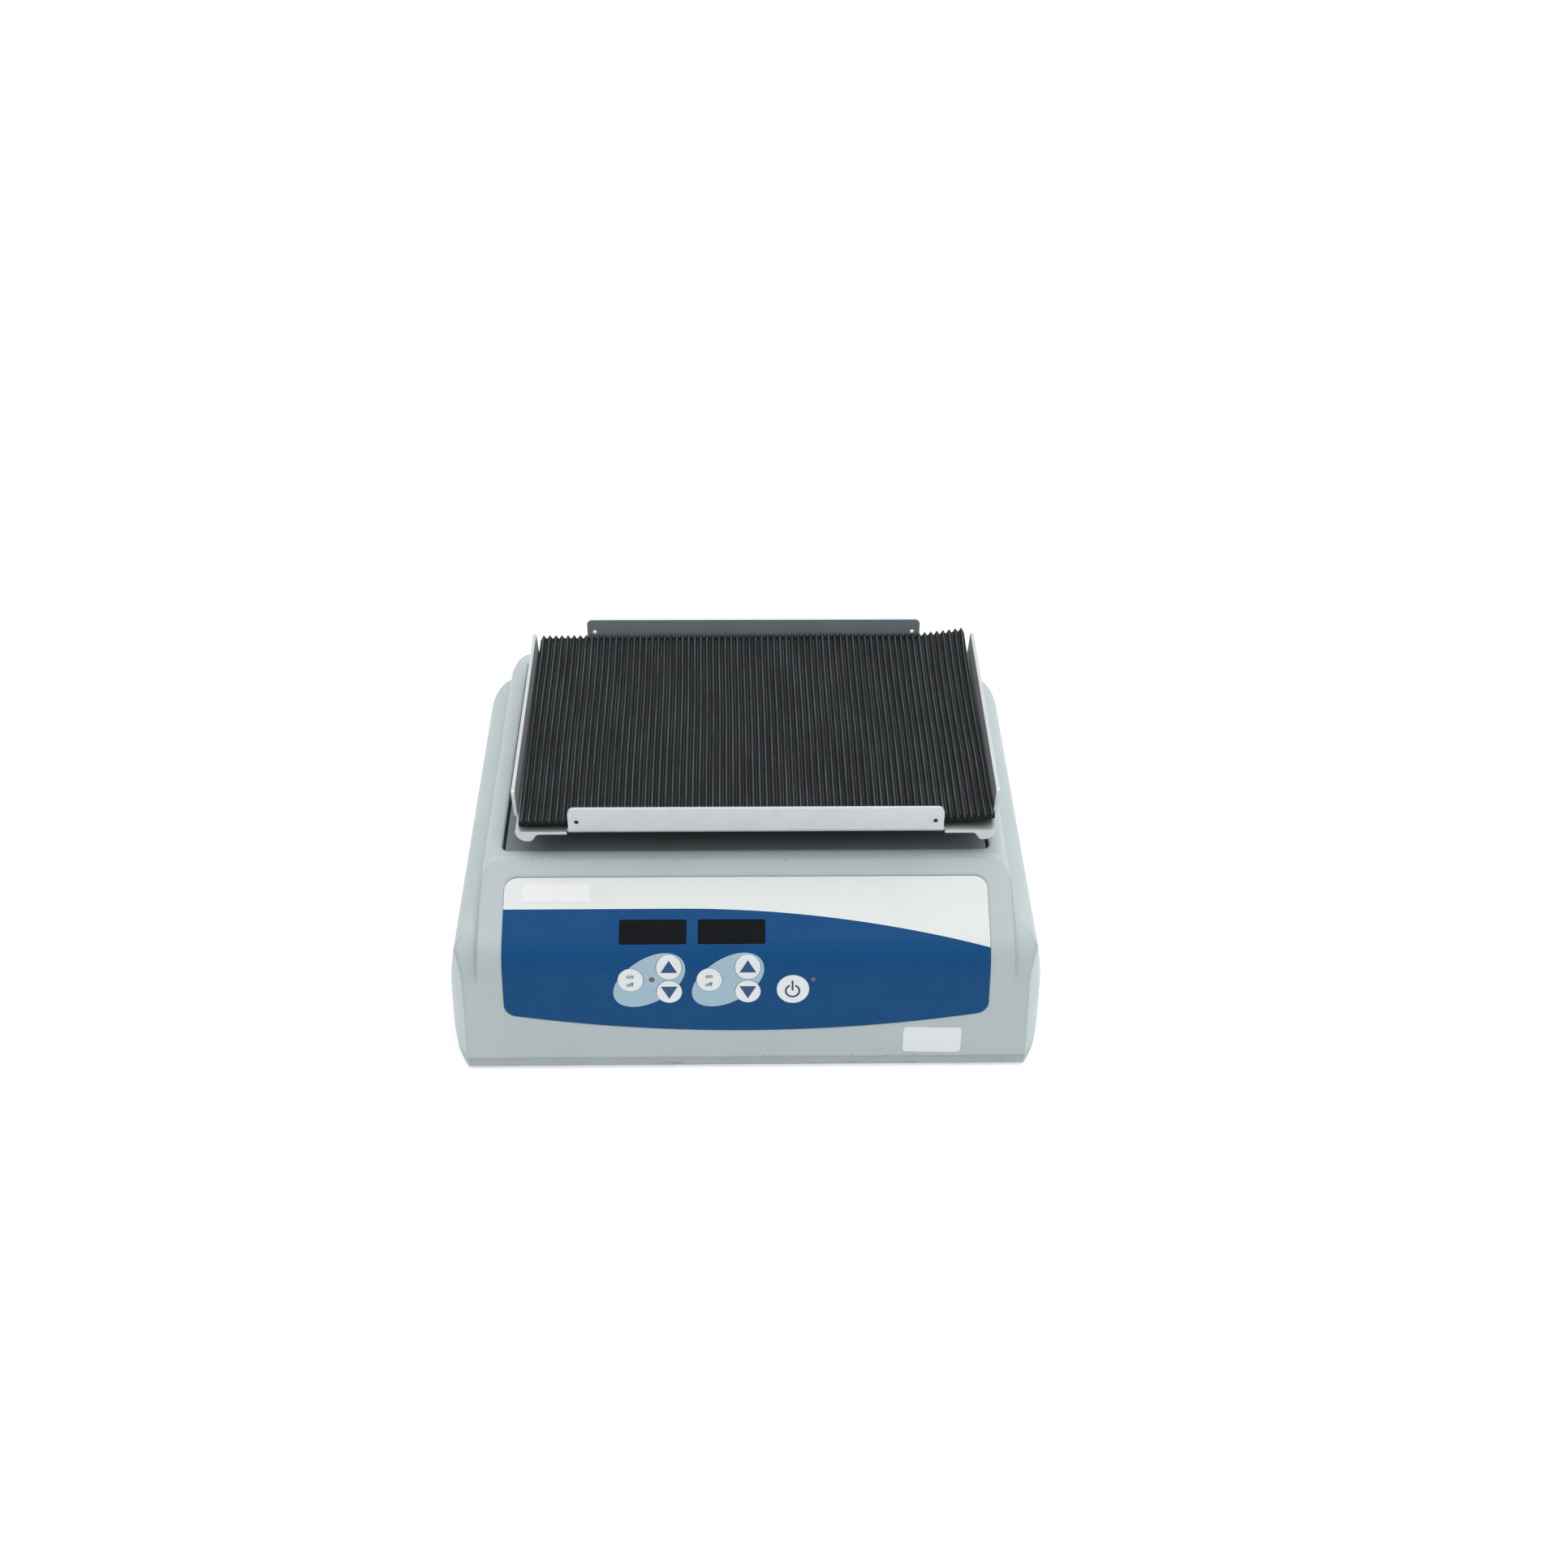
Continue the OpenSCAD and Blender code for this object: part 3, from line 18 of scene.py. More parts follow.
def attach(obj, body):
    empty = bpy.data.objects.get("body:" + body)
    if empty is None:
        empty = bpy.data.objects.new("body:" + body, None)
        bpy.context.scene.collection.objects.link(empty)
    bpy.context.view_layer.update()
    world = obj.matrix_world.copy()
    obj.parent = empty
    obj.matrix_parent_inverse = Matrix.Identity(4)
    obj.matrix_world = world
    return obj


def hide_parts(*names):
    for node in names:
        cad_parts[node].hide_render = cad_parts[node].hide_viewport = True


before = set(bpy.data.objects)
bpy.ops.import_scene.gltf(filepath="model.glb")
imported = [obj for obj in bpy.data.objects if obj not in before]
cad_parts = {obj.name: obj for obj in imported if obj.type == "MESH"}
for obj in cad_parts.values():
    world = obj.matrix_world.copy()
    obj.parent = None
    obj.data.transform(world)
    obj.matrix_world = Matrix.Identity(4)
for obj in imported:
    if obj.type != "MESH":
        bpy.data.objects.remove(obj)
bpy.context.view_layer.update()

# %% [markdown]
# Blender works in metres. The real object's sizes are easier to read in millimetres, so lengths
# stay in millimetres in this file and are turned into metres where a mesh or a light is made.

# %% Lengths
MM = 0.001


def metres(*lengths):
    return Vector(lengths) * MM


print("one millimetre is", MM, "m")

# %% [markdown]
# ## Camera
# The picture was taken from in front and well above, from about 1.3 m away, with a normal lens.
# The camera could be aimed with a constraint, but a plain matrix built from the three view
# directions says exactly where it stands and how little it is turned and tilted.

# %% Camera
TURN, PITCH, ROLL = math.radians(1.56), math.radians(37.85), math.radians(0.72)
ahead = Vector((math.sin(TURN) * math.cos(PITCH), math.cos(TURN) * math.cos(PITCH),
                -math.sin(PITCH)))
level = Vector((math.cos(TURN), -math.sin(TURN), 0))
upright = level.cross(ahead)
across = level * math.cos(ROLL) + upright * math.sin(ROLL)
above = upright * math.cos(ROLL) - level * math.sin(ROLL)

lens = bpy.data.cameras.new("camera")
lens.sensor_width = 36
lens.lens = 46.43
camera = bpy.data.objects.new("camera", lens)
camera.matrix_world = Matrix.Translation(metres(-3.1, -965.0, 849.2)) @ Matrix(
    (across, above, -ahead)).transposed().to_4x4()
bpy.context.scene.collection.objects.link(camera)
bpy.context.scene.camera = camera
print("camera stands at", camera.location)

# %% [markdown]
# ## Building materials with Python
# A finish is a graph of nodes. Dragging nodes about is slow to read back, so two small classes
# let Python write the graph. `Wire` is one output of a node, and the usual signs work on it:
# `1 - mask` or `grain * 0.2` each add a Math node. `Finish` owns a material and adds every other
# kind of node through one method, which takes its settings first and its sockets after them.

# %% Wires
class Wire:
    """One output of a node, on which Python's own signs build Math nodes."""

    def __init__(self, tree, socket):
        self.tree = tree
        self.socket = socket

    def maths(self, operation, *terms):
        return add_node(self.tree, "Math", {"operation": operation}, dict(enumerate(terms)))

    def __add__(self, other):
        return self.maths("ADD", self, other)

    def __radd__(self, other):
        return self.maths("ADD", other, self)

    def __sub__(self, other):
        return self.maths("SUBTRACT", self, other)

    def __rsub__(self, other):
        return self.maths("SUBTRACT", other, self)

    def __mul__(self, other):
        return self.maths("MULTIPLY", self, other)

    def __rmul__(self, other):
        return self.maths("MULTIPLY", other, self)

    def __abs__(self):
        return self.maths("ABSOLUTE", self)


def add_node(tree, kind, settings, sockets, output=0):
    """Adds a node of any kind: its settings first, then the values or wires of its sockets."""
    node = tree.nodes.new("ShaderNode" + kind)
    for name, value in settings.items():
        setattr(node, name, value)
    for name, value in sockets.items():
        if isinstance(value, Wire):
            tree.links.new(value.socket, node.inputs[name])
        else:
            node.inputs[name].default_value = value
    return Wire(tree, node.outputs[output])


# %% Colours
def shade(red, green, blue):
    """The linear colour of three numbers from 0 to 255, as a colour picker shows them."""
    steps = [value / 255 for value in (red, green, blue)]
    return [v / 12.92 if v <= 0.04045 else ((v + 0.055) / 1.055) ** 2.4 for v in steps] + [1]


print("housing grey is", [round(v, 3) for v in shade(198, 209, 212)])


# %% Finishes
class Finish:
    """One material, whose pattern is laid out in the part's own coordinates."""

    def __init__(self, name, colour, roughness, **fixed):
        self.material = bpy.data.materials.new(name)
        self.material.use_nodes = True
        self.tree = self.material.node_tree
        self.shader = self.tree.nodes["Principled BSDF"]
        self.colour = colour
        self.roughness = roughness
        self.relief = None
        self.shader.inputs["Base Color"].default_value = colour
        self.shader.inputs["Roughness"].default_value = roughness
        for socket, value in fixed.items():
            self.shader.inputs[socket.replace("_", " ")].default_value = value
        self.place = self.add("TexCoord", {}, {}, output=3)

    def add(self, kind, settings, sockets, output=0):
        return add_node(self.tree, kind, settings, sockets, output)

    def axis(self, number):
        """One coordinate of the surface, in millimetres."""
        return self.add("SeparateXYZ", {}, {0: self.place}, output=number) * (1 / MM)

    def stretched(self, sizes, seed=0.0):
        """The place on the part, measured in steps of the given sizes in millimetres."""
        steps = [1 / (size * MM) for size in sizes]
        scaled = self.add("VectorMath", {"operation": "MULTIPLY"}, {0: self.place, 1: steps})
        moved = (seed, seed * 2, seed * 3)
        return self.add("VectorMath", {"operation": "ADD"}, {0: scaled, 1: moved})

    def noise(self, size, detail=2.0, rough=0.5, stretch=(1, 1, 1), seed=0.0):
        """Soft random patches of about that size in millimetres."""
        sizes = [size * part for part in stretch]
        return self.add("TexNoise", {}, {"Vector": self.stretched(sizes, seed), "Scale": 1.0,
                                         "Detail": detail, "Roughness": rough})

    def specks(self, size, spread, seed=0.0):
        """Small round spots of that spread, as a distance from the nearest spot's middle."""
        return self.add("TexVoronoi", {}, {"Vector": self.stretched([size] * 3, seed),
                                           "Scale": 1.0, "Randomness": spread})

    def ramp(self, value, low, high):
        """A smooth step from 0 at low to 1 at high."""
        return self.add("MapRange", {"interpolation_type": "SMOOTHSTEP"},
                        {"Value": value, "From Min": low, "From Max": high})

    def mix(self, mask, first, second):
        """A colour that goes from the first to the second as the mask goes from 0 to 1."""
        return self.add("Mix", {"data_type": "RGBA"}, {0: mask, 6: first, 7: second}, output=2)

    def tint(self, mask, amount):
        """Lays another colour over what the finish has so far."""
        self.colour = self.mix(mask, self.colour, amount)

    def emboss(self, height, depth, strength=1.0):
        """Adds relief to the surface, with its depth in millimetres."""
        sockets = {"Height": height, "Distance": depth * MM, "Strength": strength}
        if self.relief is not None:
            sockets["Normal"] = self.relief
        self.relief = self.add("Bump", {}, sockets)

    def done(self):
        """Joins what was built to the shader and returns the material."""
        for socket, value in (("Base Color", self.colour), ("Roughness", self.roughness),
                              ("Normal", self.relief)):
            if isinstance(value, Wire):
                self.tree.links.new(value.socket, self.shader.inputs[socket])
        print("finish", self.material.name, "has", len(self.tree.nodes), "nodes")
        return self.material


# %% [markdown]
# ## Stage and light
# The object stands on white under a large bright ceiling, so faces that look up are the palest,
# steep faces are a little darker, and the gap under the tray is nearly black. A plain white sky
# would light that gap from the side. The sky is therefore dim at the horizon and brightest a
# little behind the object for the light that falls on things, and evenly white for what the
# camera and mirrors see. The white floor glows a little, which fills the steep front from below.

# %% Seen directly or mirrored
def seen_or_mirrored(tree):
    """1 for a ray that comes from the camera, a mirror or glass, and 0 for other light."""
    path = [add_node(tree, "LightPath", {}, {}, output=number) for number in (0, 3, 6)]
    return path[0].maths("MAXIMUM", path[0].maths("MAXIMUM", path[0], path[1]), path[2])


# %% Sky
HORIZON, ZENITH = 0.06, 1.14
BRIGHTEST = Vector((0.08, 0.26, 0.96)).normalized()
world = bpy.data.worlds.new("sky")
world.use_nodes = True
bpy.context.scene.world = world
sky_tree = world.node_tree
direction = add_node(sky_tree, "TexCoord", {}, {}, output=0)
nearness = add_node(sky_tree, "VectorMath", {"operation": "DOT_PRODUCT"},
                    {0: direction, 1: BRIGHTEST}, output=1)
nearness = nearness.maths("MAXIMUM", nearness, 0.0)
lit_level = HORIZON + (ZENITH - HORIZON) * nearness
whiteness = seen_or_mirrored(sky_tree)
sky_light = lit_level + (1.0 - lit_level) * whiteness
sky_tree.links.new(sky_light.socket, sky_tree.nodes["Background"].inputs["Strength"])
sky_tree.nodes["Background"].inputs["Color"].default_value = (1, 1, 1, 1)
print("sky from", HORIZON, "to", ZENITH)

# %% Floor
FLOOR_GLOW = 0.35
floor_finish = Finish("bench_white", shade(244, 247, 248), 0.7, Emission_Color=(1, 1, 1, 1),
                      Emission_Strength=FLOOR_GLOW)
floor_mesh = bpy.data.meshes.new("floor")
FLOOR_HALF = 4.0
floor_mesh.from_pydata([(x * FLOOR_HALF, y * FLOOR_HALF, 0) for x, y in
                        ((-1, -1), (1, -1), (1, 1), (-1, 1))], [], [(0, 1, 2, 3)])
floor = bpy.data.objects.new("floor", floor_mesh)
floor_mesh.materials.append(floor_finish.done())
bpy.context.scene.collection.objects.link(floor)

# %% [markdown]
# Two large soft lamps hang almost overhead and a little behind, the stronger one to the right, so
# the right side of the housing is a little paler than the left and the tray's shadow falls forward.


# %% Lamps
OBJECT_MIDDLE = 0.06


def softbox(name, place, size, watts):
    """A square area lamp that faces the middle of the object."""
    lamp = bpy.data.lights.new(name, "AREA")
    lamp.shape = "SQUARE"
    lamp.size = size
    lamp.energy = watts
    holder = bpy.data.objects.new(name, lamp)
    holder.location = place
    aim = Vector((0, 0, OBJECT_MIDDLE)) - Vector(place)
    holder.rotation_euler = aim.to_track_quat("-Z", "Y").to_euler()
    bpy.context.scene.collection.objects.link(holder)
    print(name, watts, "W at", place)


softbox("softbox_right", (0.8, 0.35, 2.0), 1.6, 12)
softbox("softbox_left", (-0.9, 0.3, 1.9), 1.4, 5)
bpy.context.scene.view_settings.view_transform = "Standard"

# %% [markdown]
# ## Moulded plastic
# The housing is a painted or moulded shell with a fine even grain. Years on a bench have left it
# slightly cloudy, with hair-thin scratches and small dark chips along its front edges. The grain
# is a small relief, the cloudiness shifts colour and gloss, and each scratch is a noise stretched
# a long way in one direction, of which only the peaks are kept. A moulding has no sharp edges
# either, so the Bevel node bends the light over every edge as a small rounding would.


# %% Moulded plastic
def moulded_plastic(name, colour, dark, roughness=0.5, grain=0.5, edge=1.6):
    finish = Finish(name, colour, roughness, Specular_IOR_Level=0.4)
    finish.relief = finish.add("Bevel", {"samples": 6}, {"Radius": edge * MM})
    clouds = finish.noise(38, detail=4)
    finish.tint(finish.ramp(clouds, 0.35, 0.75) * 0.10, dark)
    fine = finish.noise(grain, detail=3, rough=0.6)
    finish.tint(finish.ramp(fine, 0.45, 0.8) * 0.10, dark)
    finish.roughness = roughness - 0.06 + clouds * 0.14
    finish.emboss(fine, 0.012)
    return finish


def add_scratches(finish, pale, amount=0.35):
    """Hair scratches in two directions."""
    one = finish.noise(1.0, detail=0, stretch=(46, 0.45, 1.2), seed=3.1)
    two = finish.noise(1.0, detail=0, stretch=(0.5, 30, 1.4), seed=8.7)
    patches = finish.ramp(finish.noise(24, detail=1, seed=5.0), 0.5, 0.62)
    lines = finish.ramp(one.maths("MAXIMUM", one, two), 0.79, 0.84) * patches
    finish.tint(lines * amount, pale)
    finish.emboss(1 - lines, 0.03)
    return lines


housing = moulded_plastic("moulded_grey", shade(198, 209, 212), shade(170, 182, 186), edge=3.0)
add_scratches(housing, shade(212, 217, 219))
side, back, height = (housing.axis(number) for number in (0, 1, 2))
CREASE_BACK, RUB_HIGHLIGHT_BACK, DECK_START = 73.6, 71.2, 97
crease_band = housing.ramp(abs(back + CREASE_BACK), 1.4, 0.4) * housing.ramp(
    height, DECK_START, DECK_START + 2)
foot_band = housing.ramp(height, 10.0, 8.2)
patchy = housing.ramp(housing.noise(16, detail=1, seed=9.0), 0.5, 0.58)
chip_spots = housing.ramp(housing.specks(2.6, 1.0, seed=2.0), 0.2, 0.13) * patchy
housing.tint(chip_spots * crease_band.maths("MAXIMUM", crease_band, foot_band) * 0.8,
             shade(88, 92, 94))

# %% [markdown]
# A pale, broken line just behind the front edge of the deck, near both its ends, is partly wear
# where flasks and sleeves rubbed it and partly a painted highlight along the crease.

# %% Rubbed front edge and painted highlight
rub_highlight_waver = housing.noise(9, detail=3, seed=21.0) * 3.2 - 1.6
rub_highlight_line = housing.ramp(abs(back + RUB_HIGHLIGHT_BACK + rub_highlight_waver), 1.0, 0.35)
rub_highlight_ends = housing.ramp(abs(side), 74, 92) * housing.ramp(height, 99, 101)
rub_highlight_broken = housing.ramp(housing.noise(1.6, detail=3, stretch=(2.2, 1, 1), seed=22.0), 0.46, 0.6)
# Partly wear, partly a painted highlight along the deck's crease.
housing.tint(rub_highlight_line * rub_highlight_ends * rub_highlight_broken * 0.62, shade(226, 229, 229))
housing_finish = housing.done()

# %% Base plastic, and carriage plastic painted darker as shade
plinth = moulded_plastic("moulded_plinth", shade(186, 195, 198), shade(144, 152, 155), 0.55)
plinth_scuffs = plinth.ramp(plinth.noise(3.0, detail=3, stretch=(4, 4, 0.6), seed=4.0), 0.62, 0.7)
plinth.tint(plinth_scuffs * 0.35, shade(108, 112, 114))
plinth_finish = plinth.done()

# The carriage is the housing's grey; its colour here is painted darker, as the shade under the
# tray.
carriage_shade_finish = moulded_plastic(
    "moulded_carriage", shade(132, 141, 145), shade(96, 104, 109), 0.6, 0.8).done()

# %% [markdown]
# ## Rubber
# Rubber is dark and dull. Dust settles in its pores and the colour greys a little where it has
# been touched, so a fine speckle and a slow mottle are enough, with a rough relief.


# %% Rubber
def rubber(name, colour, dusty, roughness=0.75, pore=0.4):
    finish = Finish(name, colour, roughness, Specular_IOR_Level=0.3)
    pores = finish.noise(pore, detail=3, rough=0.7)
    finish.tint(finish.ramp(finish.noise(14, detail=4, seed=1.0), 0.45, 0.75) * 0.35, dusty)
    finish.tint(finish.ramp(pores, 0.6, 0.8) * 0.3, dusty)
    finish.roughness = roughness + pores * 0.15
    finish.emboss(pores, 0.03)
    return finish


foot_finish = rubber("foot_rubber", shade(38, 38, 39), shade(70, 70, 70)).done()
belt_finish = rubber("belt_rubber", shade(30, 30, 31), shade(58, 57, 55), 0.65).done()
cable_finish = rubber("cable_sheath", shade(44, 45, 47), shade(74, 75, 77), 0.5, 0.7).done()
lead_finish = rubber("lead_sheath", shade(52, 74, 140), shade(88, 104, 150), 0.5, 0.7).done()

# %% [markdown]
# ## Metals
# All the metal parts share one recipe: a bright metal whose gloss is broken by fine lines from
# rolling, turning or grinding. What differs is the colour, the dullness and the way the lines
# run. Zinc plate on screws is a little yellow and blotchy, and cast blocks have a grain instead.


# %% Metals
def metal(name, colour, dull, roughness=0.35, lines=(60, 0.3, 0.3), depth=0.006, metallic=1.0):
    finish = Finish(name, colour, roughness, Metallic=metallic)
    brushed = finish.noise(1.0, detail=3, stretch=lines, seed=6.0)
    blotches = finish.noise(9, detail=3, seed=2.0)
    finish.tint(finish.ramp(blotches, 0.4, 0.75) * 0.35, dull)
    finish.roughness = roughness - 0.08 + brushed * 0.12 + blotches * 0.10
    finish.emboss(brushed, depth)
    return finish


zinc_finish = metal("zinc_plate", shade(196, 194, 186), shade(150, 148, 140), 0.32,
                    (2, 2, 2)).done()
plate_finish = metal("rolled_aluminium", shade(206, 208, 210), shade(176, 178, 181), 0.4).done()
cast_finish = metal("cast_aluminium", shade(190, 192, 195), shade(150, 152, 156), 0.5,
                    (0.8, 0.8, 0.8), 0.02).done()
shaft_finish = metal("ground_steel", shade(186, 188, 192), shade(150, 152, 156), 0.22,
                     (3, 3, 0.12)).done()
bearing_finish = metal("bearing_steel", shade(208, 209, 212), shade(170, 172, 176), 0.18,
                       (3, 3, 0.2)).done()
weight_finish = metal("cast_iron", shade(104, 105, 108), shade(74, 75, 78), 0.55,
                      (0.7, 0.7, 0.7), 0.03).done()
brass_finish = metal("nickel_brass", shade(214, 196, 140), shade(180, 160, 104), 0.28,
                     (0.4, 6, 0.4)).done()

# %% [markdown]
# ## The tray's sheet metal
# The tray is satin stainless sheet. From the camera its back flange mirrors the black mat and
# its front flange mirrors the white bench, so one and the same metal looks nearly black in one
# place and pale in another. Only real reflections can do that. Accessories have rubbed it, so it
# has fine scratches in all directions. The walls of its four small holes are coloured dark, and
# the bottom face of the tray is painted dark grey as shade. A cool sheen is painted on the back
# flange.

# %% Tray metal
tray_metal = metal("tray_steel", shade(210, 214, 216), shade(198, 203, 206), 0.4,
                   (34, 0.25, 0.25), 0.003, 0.72)
tray_lines = add_scratches(tray_metal, shade(236, 238, 240), 0.7)
tray_metal.roughness = tray_metal.roughness + tray_lines * 0.15
TRAY_X, TRAY_Y, TRAY_FLOOR, TRAY_REACH = 5.8, 30.0, 118.4, 95.0
HOLE_X, HOLE_Z = 102.35, 125.4
from_axis = tray_metal.add("CombineXYZ", {}, {0: abs(tray_metal.axis(0) - TRAY_X) - HOLE_X,
                                               1: tray_metal.axis(2) - HOLE_Z})
from_hole = tray_metal.add("VectorMath", {"operation": "LENGTH"}, {0: from_axis}, output=1)
# The walls of the four holes are coloured dark grey.
bore = tray_metal.ramp(from_hole, 1.4, 1.25)
tray_metal.tint(bore, shade(40, 42, 44))
# The bottom face of the tray is painted dark grey, as the shade that falls under the tray.
underside_shade = tray_metal.ramp(tray_metal.axis(2), TRAY_FLOOR - 1.8, TRAY_FLOOR - 1.95)
underside_shade = underside_shade * tray_metal.ramp(
    abs(tray_metal.axis(1) - TRAY_Y), TRAY_REACH, TRAY_REACH - 1)
tray_metal.tint(underside_shade, shade(92, 94, 96))
# A cool, pale sheen is painted on the back flange, as a reflection.
back_flange_sheen = tray_metal.ramp(tray_metal.axis(1), 124, 126) * tray_metal.ramp(
    tray_metal.axis(1), 128.3, 127.9)
tray_metal.tint(back_flange_sheen * 0.9, shade(228, 240, 248))
tray_finish = tray_metal.done()

# %% [markdown]
# ## Small parts
# Circuit boards are green resin over copper tracks, so the tracks show as a faint raised maze.
# Labels are coated paper. The motor is a painted can, and what is left is black or smoked plastic.


# %% Boards
def circuit_board(name, mask_colour, track_colour, bare):
    finish = Finish(name, mask_colour, 0.4)
    maze = finish.ramp(finish.noise(5, detail=0, stretch=(3, 1, 1), seed=4.0), 0.5, 0.53)
    finish.tint(maze * 0.5, track_colour)
    pads = finish.ramp(finish.specks(3.4, 0.6), 0.2, 0.16)
    finish.tint(pads * 0.8, bare)
    finish.roughness = 0.4 - pads * 0.1 + finish.noise(2, detail=2) * 0.1
    finish.emboss(maze + pads, 0.03)
    return finish.done()


board_finish = circuit_board("logic_board", shade(26, 84, 50), shade(42, 112, 66),
                             shade(190, 186, 170))
supply_finish = circuit_board("supply_board", shade(150, 118, 62), shade(120, 92, 48),
                              shade(196, 192, 180))


# %% Hard plastics and paint
def hard_plastic(name, colour, pale, roughness, grain=0.6, depth=0.01, **fixed):
    finish = Finish(name, colour, roughness, **fixed)
    fine = finish.noise(grain, detail=2)
    wiped = finish.noise(20, detail=3, seed=7.0)
    finish.tint(finish.ramp(wiped, 0.45, 0.8) * 0.25, pale)
    finish.roughness = roughness - 0.04 + wiped * 0.10
    finish.emboss(fine, depth)
    return finish


black_finish = hard_plastic("black_plastic", shade(34, 35, 36), shade(62, 63, 64), 0.42).done()
motor_finish = hard_plastic("motor_paint", shade(40, 41, 44), shade(66, 67, 70), 0.38, 1.2,
                            0.02).done()
display_finish = hard_plastic("display_plastic", shade(30, 31, 33), shade(56, 58, 60), 0.5).done()
light_finish = hard_plastic("light_guide", shade(88, 98, 102), shade(120, 128, 130), 0.35).done()
window_finish = hard_plastic("smoked_window", shade(17, 20, 23), shade(24, 28, 32), 0.25, 0.8,
                             0.003, Specular_IOR_Level=0.08).done()


def label_paper(name, colour):
    finish = Finish(name, colour, 0.5)
    fibres = finish.noise(0.7, detail=4, rough=0.7, stretch=(2.5, 1, 1))
    soiled = finish.noise(9, detail=4, seed=12.0)
    finish.tint(finish.ramp(soiled, 0.5, 0.8) * 0.12, shade(224, 226, 227))
    finish.tint(finish.ramp(fibres, 0.5, 0.85) * 0.08, shade(214, 216, 216))
    finish.roughness = 0.42 + soiled * 0.18
    finish.emboss(fibres, 0.01)
    return finish.done()


paper_finish = label_paper("coated_paper", shade(249, 251, 252))

# %% [markdown]
# ## The front face
# The panel is a printed film stuck in a shallow recess of the housing's front, which slopes, then
# bends round and drops steeply. All that is drawn on it is easier to place as on a flat drawing:
# across the face, and down it from the front edge of the deck. These few lines fold such a flat
# drawing round the bend, with the same sizes as the CAD model.

# %% The shape of the front
LEAN, SLOPE = math.radians(11), math.radians(28)
BEND_R = 24.0
CREASE = Vector((-73.5, 101.5))
BEND_MIDDLE = Vector((-104.722, 57.708))
BEND_START, BEND_END = 48.12, 69.483


def slope_at(down):
    """How steep the face is, in radians, at a distance down it."""
    turned = min(max(down - BEND_START, 0), BEND_END - BEND_START) / BEND_R
    return SLOPE + turned


def on_front(x, down, height):
    """The point in space for a place on the face, at a height over it, in metres."""
    slope = slope_at(down)
    if down < BEND_START:
        spot = CREASE - down * Vector((math.cos(SLOPE), math.sin(SLOPE)))
    else:
        spot = BEND_MIDDLE + BEND_R * Vector((-math.sin(slope), math.cos(slope)))
        spot -= max(down - BEND_END, 0) * Vector((math.sin(LEAN), math.cos(LEAN)))
    spot += height * Vector((-math.sin(slope), math.cos(slope)))
    return metres(x, spot.x, spot.y)


print("the lowest point of the film is at", on_front(0, 106.8, 0))


# %% Flat outlines
def arc_points(x, y, radius, start, end, steps=12):
    """Points along an arc, with its angles in degrees."""
    angles = [math.radians(start + (end - start) * i / steps) for i in range(steps + 1)]
    return [(x + radius * math.cos(a), y + radius * math.sin(a)) for a in angles]


def disc(x, y, diameter, steps=40):
    return arc_points(x, y, diameter / 2, 0, 360 * (steps - 1) / steps, steps - 1)


def plate(x, y, width, height, radius):
    """A rounded rectangle around its middle."""
    in_x, in_y = width / 2 - radius, height / 2 - radius
    corners = ((1, 1, 0), (-1, 1, 90), (-1, -1, 180), (1, -1, 270))
    return [point for sx, sy, start in corners for point in arc_points(
        x + sx * in_x, y + sy * in_y, radius, start, start + 90, 5)]


# %% [markdown]
# A sheet with several inks and holes is cut like a stencil. A constrained Delaunay
# triangulation keeps every outline as an edge and says for each triangle which of the shapes it
# lies in, so each ink gets clean borders at any zoom, which an image or a noise could not give.


# %% Cutting and laying a sheet
def cut_sheet(shapes, fold_lines=()):
    """Triangles of flat shapes that lie over each other, and which shapes each lies in."""
    points, outlines, folds = [], [], []
    for shape in shapes:
        outlines.append(list(range(len(points), len(points) + len(shape))))
        points += shape
    for line in fold_lines:
        folds.append((len(points), len(points) + 1))
        points += line
    cut = delaunay_2d_cdt([Vector(p) for p in points], folds, outlines, 0, 1e-5)
    return [tuple(p) for p in cut[0]], cut[2], cut[5]


def lay_on_front(name, points, triangles, inks, high, low, materials):
    """A closed sheet between two heights over the face, from flat points (x, up the face)."""
    form = bmesh.new()
    top = [form.verts.new(on_front(x, -up, high)) for x, up in points]
    bottom = [form.verts.new(on_front(x, -up, low)) for x, up in points]
    sides = {}
    for corners, ink in zip(triangles, inks):
        form.faces.new([top[i] for i in corners]).material_index = ink
        form.faces.new([bottom[i] for i in reversed(corners)]).material_index = ink
        for a, b in zip(corners, corners[1:] + corners[:1]):
            sides[(a, b)] = ink
    for (a, b), ink in sides.items():
        if (b, a) not in sides:
            form.faces.new((top[b], top[a], bottom[a], bottom[b])).material_index = ink
    loose = [vert for vert in form.verts if not vert.link_faces]
    bmesh.ops.delete(form, geom=loose, context="VERTS")
    mesh = bpy.data.meshes.new(name)
    form.to_mesh(mesh)
    form.free()
    mesh.shade_smooth()
    mesh.set_sharp_from_angle(angle=math.radians(25))
    for material in materials:
        mesh.materials.append(material)
    sheet = bpy.data.objects.new(name, mesh)
    bpy.context.scene.collection.objects.link(sheet)
    print(name, "has", len(mesh.polygons), "faces")
    return sheet


# %% [markdown]
# ## The printed film
# A membrane keypad is a polyester film printed on its back, so all the inks share one satin
# surface. The film has a white band above, a blue field whose top edge falls in a long curve,
# and a pale tilted oval behind each group of keys. The print could be drawn by a shader, but cut
# shapes stay crisp when baked.


